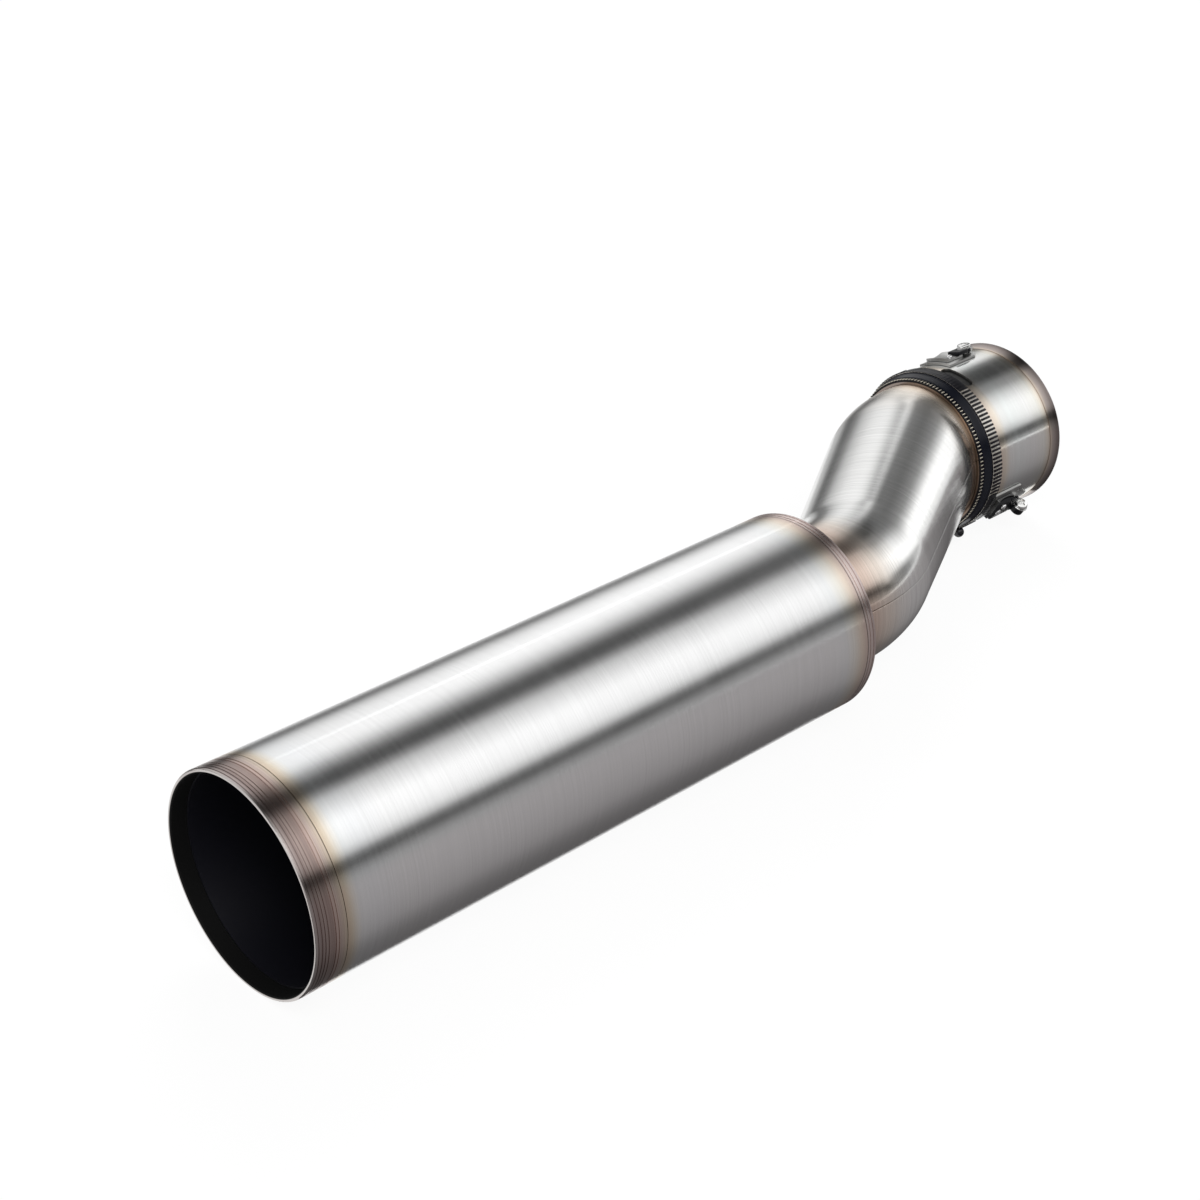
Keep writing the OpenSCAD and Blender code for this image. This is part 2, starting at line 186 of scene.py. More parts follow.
class ShaderGraph(NodeTree):
    """The nodes of a new material or world.

    Args:
        name: Name of the material or world.
        world: Whether it is a world.
    """

    def __init__(self, name: str, world: bool = False) -> None:
        """Makes the material or world with an output node alone."""
        self.owner = (bpy.data.worlds if world else bpy.data.materials).new(name)
        self.owner.use_nodes = True
        super().__init__(self.owner.node_tree)
        self.output = self.node("OutputWorld" if world else "OutputMaterial")

    def node(self, kind: str, inputs: Optional[dict] = None, **settings: object) -> Node:
        """Adds a node whose type is given without its ShaderNode prefix."""
        return self.add("ShaderNode" + kind, inputs, **settings)

    def place(self) -> NodeSocket:
        """Returns the place on the piece."""
        return self.node("TexCoord").outputs["Object"]

    def straight(self) -> NodeSocket:
        """Returns the place on the straight piece."""
        return self.node("Attribute", attribute_name=STRAIGHT).outputs["Vector"]

    def radius(self, place: NodeSocket) -> NodeSocket:
        """Returns the distance of a place from the X axis."""
        flat = self.node("VectorMath", {0: place, 1: (0.0, 1.0, 1.0)}, operation="MULTIPLY").outputs[0]
        return self.node("VectorMath", {0: flat}, operation="LENGTH").outputs["Value"]

    def noise(self, place: NodeSocket, scale: Triple, detail: float = 2.0) -> NodeSocket:
        """Returns noise whose grain is stretched by a different scale along each axis."""
        stretched = self.node("Mapping", {"Vector": place, "Scale": scale}).outputs[0]
        return self.node("TexNoise", {"Vector": stretched, "Scale": 1.0, "Detail": detail}).outputs["Fac"]

    def spread(self, factor: object, low: float, high: float) -> NodeSocket:
        """Returns a factor from 0 to 1 mapped to the range from low to high."""
        return self.node("MapRange", {"Value": factor, "To Min": low, "To Max": high}).outputs[0]

    def rise(self, value: object, start: float, end: float, top: float = 1.0) -> NodeSocket:
        """Returns 0 where a value is at the start of a range, and the top where it is at the end."""
        return self.node("MapRange", {"Value": value, "From Min": start, "From Max": end,
                                      "To Max": top}).outputs[0]

    def ramp(self, factor: NodeSocket, colours: Sequence[Stop]) -> NodeSocket:
        """Adds a colour ramp.

        Args:
            factor: Place on the ramp, from 0 to 1.
            colours: Places on the ramp with their colours.

        Returns:
            The ramp's colour.
        """
        made = self.node("ValToRGB", {"Fac": factor})
        elements = made.color_ramp.elements
        while len(elements) < len(colours):
            elements.new(0.5)
        for element, (at, colour) in zip(elements, colours):
            element.position = at
            element.color = (*colour, 1.0)
        return made.outputs["Color"]

    def mix(self, factor: object, first: object, second: object, blend: str = "MIX") -> NodeSocket:
        """Returns a mix of two colours, given as sockets or as plain colours."""
        first, second = (part if isinstance(part, NodeSocket) else (*part, 1.0) for part in (first, second))
        return self.node("Mix", {0: factor, 6: first, 7: second}, data_type="RGBA", blend_type=blend).outputs[2]

    def blend(self, factor: NodeSocket, first: Node, second: Node) -> NodeSocket:
        """Returns a mix of two shaders."""
        return self.node("MixShader", {0: factor, 1: first.outputs[0], 2: second.outputs[0]}).outputs[0]

    def seen(self) -> NodeSocket:
        """Returns 1 for rays of the camera, of reflections and through glass, and 0 for others."""
        path = self.node("LightPath").outputs
        plain = self.math("MAXIMUM", path["Is Camera Ray"], path["Is Glossy Ray"])
        return self.math("MAXIMUM", plain, path["Is Transmission Ray"])

    def finish(self, surface: NodeSocket) -> ID:
        """Joins a surface to the output and returns the material or world."""
        self.tree.links.new(surface, self.output.inputs["Surface"])
        return self.owner


@dataclass(frozen=True)
class BrushedSteel:
    """Steel brushed around its axis, with heat tints at places along it.

    Args:
        name: Name of the material.
        colour: Colour of the bare metal.
        tints: Places along X in metres and the colour that multiplies the metal there.
        roughness: Middle roughness.
        anisotropy: How far reflections stretch along the axis.
        line_pitch: Width of the brush lines in metres.
        line_depth: Depth of the brush lines in metres.
        line_grain: Noise scale of the brush lines around the piece.
        patches: Noise scales of rougher patches.
        contrast: Share by which brush lines lighten and darken the metal.
        wander: How far in metres the edges of the tints wander.
        wander_grain: Noise scales of that wandering.
        lean: How far the tints reach back on the -Y side, as a share of their place for each metre across.
        soot_r: Distance from the axis inside which the metal is black with soot; on the pipe it also
            blackens the edges of the seam as painted shade in the gap between the halves.
        soot_from: Place along X where the soot begins.
        dull_from: Place along X from which heat has dulled the metal, if anywhere.
        dull_run: Length over which it becomes dull.
        dull_rough: Roughness that is added where it is dull.
    """

    name: str
    colour: Triple
    tints: tuple[Stop, ...]
    roughness: float = 0.22
    anisotropy: float = 0.75
    line_pitch: float = 0.35 * MM
    line_depth: float = 0.006 * MM
    line_grain: float = 14.0
    patches: Triple = (60.0, 9.0, 9.0)
    contrast: float = 0.10
    wander: float = 0.8 * MM
    wander_grain: Triple = (8.0, 22.0, 22.0)
    lean: float = 0.0
    soot_r: float = 0.0
    soot_from: float = -1.0
    dull_from: Optional[float] = None
    dull_run: float = 16 * MM
    dull_rough: float = 0.22

    def build(self) -> Material:
        """Returns the material."""
        graph = ShaderGraph(self.name)
        place = graph.straight()
        along, across, _ = graph.node("SeparateXYZ", {0: place}).outputs
        lines = graph.noise(place, (1 / self.line_pitch, self.line_grain, self.line_grain), 4.0)
        shade = graph.spread(lines, 1 - self.contrast, 1 + self.contrast)
        grey = graph.node("CombineColor", {0: shade, 1: shade, 2: shade}).outputs[0]
        metal = graph.mix(1.0, self.colour, grey, "MULTIPLY")
        colour = graph.mix(1.0, metal, self._tint(graph, place, along, across), "MULTIPLY")
        rough = graph.math("ADD", graph.spread(lines, self.roughness - 0.05, self.roughness + 0.05),
                           graph.spread(graph.noise(place, self.patches), -0.03, 0.03))
        if self.dull_from is not None:
            rough = graph.math("ADD", rough, graph.rise(
                along, self.dull_from, self.dull_from + self.dull_run, self.dull_rough))
        bump = graph.node("Bump", {"Height": lines, "Strength": 0.6, "Distance": self.line_depth})
        tangent = graph.node("Tangent", direction_type="UV_MAP", uv_map=UV_NAME)
        steel = graph.node("BsdfPrincipled", {
            "Base Color": colour, "Roughness": rough, "Metallic": 1.0, "Anisotropic": self.anisotropy,
            "Normal": bump.outputs[0], "Tangent": tangent.outputs[0]})
        if not self.soot_r:
            return graph.finish(steel.outputs[0])
        # Black inside the soot radius: soot, and on the pipe's seam edges painted shade in the gap.
        soot = graph.node("BsdfPrincipled", {"Base Color": (0.003, 0.003, 0.003, 1.0), "Roughness": 0.7,
                                             "Specular IOR Level": 0.1})
        inside = graph.rise(graph.radius(place), self.soot_r, self.soot_r - 0.2 * MM)
        share = graph.math("MULTIPLY", inside, graph.math("GREATER_THAN", along, self.soot_from))
        return graph.finish(graph.blend(share, steel, soot))

    def _tint(self, graph: ShaderGraph, place: NodeSocket, along: NodeSocket, across: NodeSocket) -> NodeSocket:
        """Adds the heat tints, whose edges wander a little around the piece.

        Args:
            graph: The material's nodes.
            place: The place on the straight piece.
            along: Its part along X.
            across: Its part along Y.

        Returns:
            The tint's colour.
        """
        first, last = self.tints[0][0], self.tints[-1][0]
        if self.lean:
            stretch = graph.math("SUBTRACT", 1.0, graph.math("MULTIPLY", across, self.lean))
            along = graph.math("MULTIPLY", along, stretch)
        wander = graph.spread(graph.noise(place, self.wander_grain), -self.wander, self.wander)
        factor = graph.rise(graph.math("ADD", along, wander), first, last)
        return graph.ramp(factor, [((at - first) / (last - first), colour) for at, colour in self.tints])


@dataclass(frozen=True)
class BlackEnamel:
    """Glossy black on metal, with bare dull-gold metal at chosen distances from the collar's axis:
    worn edges and painted glints on tooth tips, and painted glints alone at the roots of ribs.

    Args:
        name: Name of the material.
        colour: Colour of the enamel.
        roughness: Middle roughness of the enamel.
        wear_and_glint_from: Distance from the collar's axis at which painted glints and worn metal begin.
        wear_and_glint_to: Distance at which they are full.
        wear_and_glint_above: Distance below which there are none.
        wear_and_glint: Greatest share of the surface that is bare metal.
        bare: Colour of the bare metal of worn edges and painted glints.
        gloss: Strength of the enamel's reflections.
        grain: Noise scale of its fine grain.
    """

    name: str
    colour: Triple = (0.004, 0.004, 0.006)
    roughness: float = 0.20
    wear_and_glint_from: float = 1.0
    wear_and_glint_to: float = 2.0
    wear_and_glint_above: float = 0.0
    wear_and_glint: float = 0.0
    bare: Triple = (0.80, 0.74, 0.62)
    gloss: float = 0.22
    grain: float = 900.0

    def build(self) -> Material:
        """Returns the material."""
        graph = ShaderGraph(self.name)
        place = graph.place()
        grain = graph.noise(place, (self.grain,) * 3, 3.0)
        radius = graph.radius(place)
        # Bare metal at chosen distances from the axis: worn edges and painted glints.
        shown = graph.math("MULTIPLY", graph.rise(radius, self.wear_and_glint_from, self.wear_and_glint_to),
                           graph.math("GREATER_THAN", radius, self.wear_and_glint_above))
        worn = graph.math("MULTIPLY", shown, graph.spread(grain, 0.7 * self.wear_and_glint, self.wear_and_glint))
        bump = graph.node("Bump", {"Height": grain, "Strength": 0.3, "Distance": 0.01 * MM})
        enamel = graph.node("BsdfPrincipled", {
            "Base Color": graph.mix(worn, self.colour, self.bare), "Metallic": worn,
            "Roughness": graph.spread(grain, self.roughness - 0.04, self.roughness + 0.05),
            "Specular IOR Level": self.gloss, "Normal": bump.outputs[0]})
        return graph.finish(enamel.outputs[0])


@dataclass(frozen=True)
class BrightMetal:
    """Plated fastener metal with faint marks.

    Args:
        name: Name of the material.
        colour: Colour of the plating.
        roughness: Middle roughness.
        grain: Noise scale of the marks.
    """

    name: str
    colour: Triple
    roughness: float
    grain: float = 300.0

    def build(self) -> Material:
        """Returns the material."""
        graph = ShaderGraph(self.name)
        marks = graph.noise(graph.place(), (self.grain,) * 3)
        dim = tuple(0.93 * part for part in self.colour)
        metal = graph.node("BsdfPrincipled", {
            "Base Color": graph.mix(marks, dim, self.colour), "Metallic": 1.0,
            "Roughness": graph.spread(marks, self.roughness - 0.03, self.roughness + 0.04)})
        return graph.finish(metal.outputs[0])


def new_object(name: str, data: ID) -> Object:
    """Returns an object for a mesh, lamp or camera, linked to the scene."""
    made = bpy.data.objects.new(name, data)
    bpy.context.scene.collection.objects.link(made)
    return made


def object_of(name: str, shape: bmesh.types.BMesh) -> Object:
    """Returns an object for a finished shape, linked to the scene."""
    mesh = bpy.data.meshes.new(name)
    shape.to_mesh(mesh)
    shape.free()
    return new_object(name, mesh)


def shape_of(points: Sequence[Sequence[float]], faces: Sequence[Sequence[int]]) -> bmesh.types.BMesh:
    """Returns a shape made of points and of faces given by point numbers."""
    shape = bmesh.new()
    verts = [shape.verts.new(point) for point in points]
    for face in faces:
        shape.faces.new([verts[i] for i in face])
    return shape


def grid(rows: int, cols: int, rows_meet: bool = False, cols_meet: bool = False) -> list[tuple[int, ...]]:
    """Joins the points of a grid, numbered row by row, with four-sided faces.

    Args:
        rows: Number of rows.
        cols: Number of points in a row.
        rows_meet: Whether the last row is joined to the first.
        cols_meet: Whether the last point of a row is joined to its first.

    Returns:
        The point numbers of each face.
    """
    return [(i * cols + j, i * cols + (j + 1) % cols, (i + 1) % rows * cols + (j + 1) % cols,
             (i + 1) % rows * cols + j)
            for i in range(rows if rows_meet else rows - 1) for j in range(cols if cols_meet else cols - 1)]


def round_edges(shape: bmesh.types.BMesh, edges: Sequence[bmesh.types.BMEdge], radius: float,
                segments: int = 2) -> None:
    """Rounds some of a shape's edges."""
    bmesh.ops.bevel(shape, geom=edges, offset=radius, segments=segments, affect="EDGES", profile=0.5)


def bevelled_block(name: str, size: Triple, bevel: float, segments: int = 2) -> Object:
    """Makes a block with rounded edges that stands on the origin, for use as a pattern's piece.

    Args:
        name: Name of the object.
        size: Lengths along X, Y and Z.
        bevel: Radius of the rounded edges.
        segments: Faces across each rounded edge.

    Returns:
        The block.
    """
    shape = bmesh.new()
    bmesh.ops.create_cube(shape, size=1.0)
    bmesh.ops.scale(shape, verts=shape.verts, vec=size)
    bmesh.ops.translate(shape, verts=shape.verts, vec=(0.0, 0.0, size[2] / 2))
    round_edges(shape, list(shape.edges), bevel, segments)
    return object_of(name, shape)


def turned_piece(name: str, profile: Sequence[Pair], steps: int) -> Object:
    """Makes a piece turned about Z, for use as a pattern's piece.

    Args:
        name: Name of the object.
        profile: Outline as distances from Z and heights in millimetres, closed where it isn't on Z.
        steps: Faces around the piece.

    Returns:
        The piece.
    """
    points = list(profile)
    if points[0][0] > 0.0:
        points.append(points[0])
    shape = bmesh.new()
    verts = [shape.verts.new((r * MM, 0.0, z * MM)) for r, z in points]
    edges = [shape.edges.new(pair) for pair in zip(verts, verts[1:])]
    bmesh.ops.spin(shape, geom=verts + edges, cent=(0.0, 0.0, 0.0), axis=(0.0, 0.0, 1.0), angle=math.tau,
                   steps=steps, use_merge=True)
    bmesh.ops.remove_doubles(shape, verts=shape.verts, dist=1e-6)
    bmesh.ops.recalc_face_normals(shape, faces=shape.faces)
    return object_of(name, shape)


def lathe(name: str, profile: Sequence[Pair], bevel: float, steps: int) -> Object:
    """Makes a ring turned about the X axis, with the corners of its profile rounded.

    Args:
        name: Name of the object.
        profile: Closed outline as places along X and distances from the axis.
        bevel: Radius of the rounded corners.
        steps: Faces around the ring.

    Returns:
        The ring.
    """
    points = [(x, r * math.cos(math.tau * i / steps), r * math.sin(math.tau * i / steps))
              for i in range(steps) for x, r in profile]
    shape = shape_of(points, grid(steps, len(profile), True, True))

    def drift(edge: bmesh.types.BMEdge) -> float:
        """Returns how far an edge's ends differ in their places along X or distances from the axis."""
        first, second = ((vert.co.x, math.hypot(vert.co.y, vert.co.z)) for vert in edge.verts)
        return max(abs(first[0] - second[0]), abs(first[1] - second[1]))

    round_edges(shape, [edge for edge in shape.edges if drift(edge) < 1e-9], bevel)
    bmesh.ops.recalc_face_normals(shape, faces=shape.faces)
    return object_of(name, shape)


def make_plain(body: Object) -> Object:
    """Returns a body whose modifiers have been made part of its mesh."""
    bpy.context.view_layer.update()
    depsgraph = bpy.context.evaluated_depsgraph_get()
    mesh = bpy.data.meshes.new_from_object(body.evaluated_get(depsgraph))
    mesh.name = body.name
    body.modifiers.clear()
    body.data = mesh
    return body


def cut(body: Object, cutters: Sequence[Object]) -> Object:
    """Takes the cutters' shapes out of a body, and deletes the cutters.

    Args:
        body: The object that is cut.
        cutters: The objects that are taken out of it.

    Returns:
        The body.
    """
    for cutter in cutters:
        modifier = body.modifiers.new("cut", "BOOLEAN")
        modifier.operation = "DIFFERENCE"
        modifier.solver = "EXACT"
        modifier.object = cutter
    make_plain(body)
    for cutter in cutters:
        bpy.data.objects.remove(cutter)
    return body


def smooth_by_angle(piece: Object, degrees: float = 35.0) -> None:
    """Shades a piece smooth, with sharp edges where faces meet at more than the angle."""
    piece.data.shade_smooth()
    piece.data.set_sharp_from_angle(angle=math.radians(degrees))


def set_round_normals(mesh: Mesh, axis: Axis) -> None:
    """Gives every turned face the exact normals of its cylinder or cone, and leaves others flat.

    Args:
        mesh: A mesh turned about the axis.
        axis: The line along X that it is turned about.
    """
    normals = []
    for face in mesh.polygons:
        normal = face.normal
        slope = math.hypot(normal.y, normal.z)
        out_y, out_z = face.center.y - axis.y, face.center.z - axis.z
        facing = (normal.y * out_y + normal.z * out_z) / max(slope * math.hypot(out_y, out_z), 1e-12)
        turned = slope > 1e-3 and abs(facing) > ROUND_LIMIT
        radial = math.copysign(slope, facing)
        for index in face.vertices:
            point = mesh.vertices[index].co
            angle = math.atan2(point.z - axis.z, point.y - axis.y)
            normals.append((normal.x, radial * math.cos(angle), radial * math.sin(angle)) if turned
                           else tuple(normal))
    mesh.shade_smooth()
    mesh.normals_split_custom_set(normals)


def mark_straight(mesh: Mesh, place: Callable[[Vector], Vector]) -> None:
    """Writes where each point would be on a straight piece about X, and a UV map along and around it.

    Args:
        mesh: The mesh to mark.
        place: Gives the straight place of a point of the mesh.
    """
    straight = [place(vertex.co) for vertex in mesh.vertices]
    attribute = mesh.attributes.new(STRAIGHT, "FLOAT_VECTOR", "POINT")
    attribute.data.foreach_set("vector", [part for point in straight for part in point])
    uv_map = mesh.uv_layers.new(name=UV_NAME)
    for face in mesh.polygons:
        middle = sum((straight[index] for index in face.vertices), Vector()) / len(face.vertices)
        towards = math.atan2(middle.z, middle.y)
        for loop in face.loop_indices:
            point = straight[mesh.loops[loop].vertex_index]
            turn = math.remainder(math.atan2(point.z, point.y) - towards, math.tau)
            along = point.x + math.hypot(point.y, point.z)
            uv_map.data[loop].uv = (along * UV_SCALE[0], (towards + turn) * UV_SCALE[1])


def merged_copy(node: str) -> Object:
    """Returns the look's copy of a CAD node, with its loose triangles joined."""
    shape = bmesh.new()
    shape.from_mesh(bpy.data.objects[node].data)
    bmesh.ops.remove_doubles(shape, verts=shape.verts, dist=1e-7)
    return object_of(node + "_look", shape)


def dress(piece: Object, material: Material, slot: str, nodes: Sequence[str] = ()) -> None:
    """Gives a piece its material, parents it to the body's empty and hides the CAD nodes that it replaces.

    Args:
        piece: The finished piece.
        material: Its material.
        slot: Name of a material slot; it is not used.
        nodes: The CAD nodes that the piece replaces.
    """
    piece.data.materials.clear()
    piece.data.materials.append(material)
    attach(piece, BODY)
    if nodes:
        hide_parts(*nodes)
    LOG.info("%s: %d faces", piece.name, len(piece.data.polygons))


def dress_turned(node: str, axis: Axis, material: Material, slot: str) -> None:
    """Makes and dresses a copy of a turned CAD node, with round normals and marked for brushing.

    Args:
        node: The CAD node.
        axis: The line that it is turned about.
        material: Its material.
        slot: Name of the material slot.
    """
    piece = merged_copy(node)
    set_round_normals(piece.data, axis)
    mark_straight(piece.data, lambda point: Vector((point.x, point.y - axis.y, point.z - axis.z)))
    dress(piece, material, slot, [node])


class RingPattern(NodeTree):
    """Geometry Nodes tree that sets copies of one piece around the X axis and joins them to a body."""

    def __init__(self) -> None:
        """Builds the tree and remembers the identifier of each named input."""
        super().__init__(bpy.data.node_groups.new("pattern_around_x", "GeometryNodeTree"))
        self.tree.is_modifier = True
        face = self.tree.interface
        face.new_socket("Geometry", in_out="OUTPUT", socket_type="NodeSocketGeometry")
        self.sockets = {
            name: face.new_socket(name, in_out="INPUT", socket_type="NodeSocket" + kind).identifier
            for name, kind in (("Geometry", "Geometry"), ("Piece", "Object"), ("Count", "Int"),
                               ("Place X", "Float"), ("Radius", "Float"), ("Start", "Float"),
                               ("Step", "Float"), ("Roll", "Float"), ("Material", "Material"))}
        source = self.add("NodeGroupInput").outputs
        points = self.geometry("Points", {"Count": source["Count"]})
        turned = self.math("MULTIPLY", self.geometry("InputIndex"), source["Step"])
        angle = self.math("ADD", source["Start"], turned)
        across = self.math("MULTIPLY", source["Radius"], self.math("COSINE", angle))
        up = self.math("MULTIPLY", source["Radius"], self.math("SINE", angle))
        place = self.add("ShaderNodeCombineXYZ", {0: source["Place X"], 1: across, 2: up}).outputs[0]
        roll = self.math("ADD", self.math("SUBTRACT", angle, math.pi / 2), source["Roll"])
        copies = self.geometry("InstanceOnPoints", {
            "Points": self.geometry("SetPosition", {"Geometry": points, "Position": place}),
            "Instance": self.add("GeometryNodeObjectInfo", {"Object": source["Piece"]}).outputs["Geometry"],
            "Rotation": self.add("ShaderNodeCombineXYZ", {0: roll}).outputs[0]})
        joined = self.add("GeometryNodeJoinGeometry", {0: source["Geometry"]})
        self.tree.links.new(copies, joined.inputs[0])
        real = self.geometry("RealizeInstances", {"Geometry": joined.outputs[0]})
        coloured = self.geometry("SetMaterial", {"Geometry": real, "Material": source["Material"]})
        self.add("NodeGroupOutput", {"Geometry": coloured})

    def geometry(self, kind: str, inputs: Optional[dict] = None) -> NodeSocket:
        """Adds a node whose type is given without its GeometryNode prefix, and returns its output."""
        return self.add("GeometryNode" + kind, inputs).outputs[0]

    def finish(self, body: Object, runs: Sequence[dict], material: Material, slot: str,
               nodes: Sequence[str]) -> None:
        """Joins patterns of copies to a body, makes it one plain mesh and dresses it.

        Args:
            body: The object that the copies are joined to.
            runs: For each pattern, the values of the tree's inputs by name. Their pieces are deleted.
            material: Material of the whole.
            slot: Name of the material slot.
            nodes: The CAD nodes that it replaces.
        """
        for run in runs:
            modifier = body.modifiers.new("pattern", "NODES")
            modifier.node_group = self.tree
            for name, value in {**run, "Material": material}.items():
                modifier[self.sockets[name]] = value
        make_plain(body)
        for piece in {run["Piece"] for run in runs}:
            bpy.data.objects.remove(piece)
        smooth_by_angle(body)
        dress(body, material, slot, nodes)


@dataclass
class Can:
    """The can: its turned outlet ring, brushed shell, black liner and end cap.

    Args:
        axis: The can's axis.
        mouth_x: Place of the mouth along X.
        ring_x: Place where the outlet ring meets the shell.
        seam_x: Place where the shell meets the end cap.
        mouth_r: Distance from the axis to the black inside of the mouth.
    """

    axis: Axis
    mouth_x: float
    ring_x: float
    seam_x: float
    mouth_r: float = 49.5 * MM

    @classmethod
    def from_frame(cls) -> "Can":
        """Returns the can with its places read from the frame."""
        shell_low, shell_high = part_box("can_shell")
        return cls(Axis.of_node("can_shell"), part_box("outlet_ring")[0].x, shell_low.x, shell_high.x)

    def ring_finish(self) -> BrushedSteel:
        """Returns the brown and purple heat tint of the outlet ring."""
        tints = stops(self.mouth_x, (0, (0.72, 0.68, 0.66)), (0.9, (0.50, 0.43, 0.41)),
                      (3, (0.38, 0.30, 0.28)), (5.4, (0.46, 0.37, 0.34)), (8.6, (0.42, 0.32, 0.29)),
                      (10.4, (0.62, 0.48, 0.43)), (12.6, (0.66, 0.54, 0.48)))
        return BrushedSteel("tinted_ring_steel", (0.80, 0.80, 0.80),
                            tints + stops(self.ring_x, (0, (0.74, 0.63, 0.50))),
                            roughness=0.20, contrast=0.30, soot_r=self.mouth_r)

    def shell_finish(self) -> BrushedSteel:
        """Returns the shell's brushed steel, straw and faint blue beside the ring and tan at the rear."""
        front = stops(self.ring_x, (0, (0.78, 0.64, 0.50)), (2, (0.86, 0.75, 0.60)), (5, (0.95, 0.92, 0.86)),
                      (7, (0.96, 0.97, 0.97)), (14, (0.98, 0.99, 1.0)), (30, (1.0, 1.0, 1.0)))
        rear = stops(self.seam_x, (-26, (1.0, 1.0, 1.0)), (-15, (0.97, 0.98, 0.98)), (-9, (0.96, 0.93, 0.86)),
                     (-4, (0.90, 0.78, 0.66)), (0, (0.72, 0.58, 0.52)))
        return BrushedSteel("brushed_can_steel", (0.84, 0.84, 0.84), front + rear)

    def cap_finish(self) -> BrushedSteel:
        """Returns the rose-brown tint of the end cap."""
        tints = stops(self.seam_x, (0, (0.66, 0.54, 0.50)), (2, (0.80, 0.68, 0.64)), (5, (0.70, 0.58, 0.55)),
                      (8, (0.74, 0.62, 0.58)), (17, (0.80, 0.68, 0.62)))
        return BrushedSteel("tinted_cap_steel", (0.80, 0.80, 0.80), tints, roughness=0.27, contrast=0.2)

    def build(self) -> None:
        """Makes and dresses the can's four pieces."""
        for node, finish in (("outlet_ring", self.ring_finish()), ("can_shell", self.shell_finish()),
                             ("inner_liner", BlackEnamel("black_liner", (0.004, 0.004, 0.007), 0.5)),
                             ("end_cap", self.cap_finish())):
            dress_turned(node, self.axis, finish.build(), finish.name)


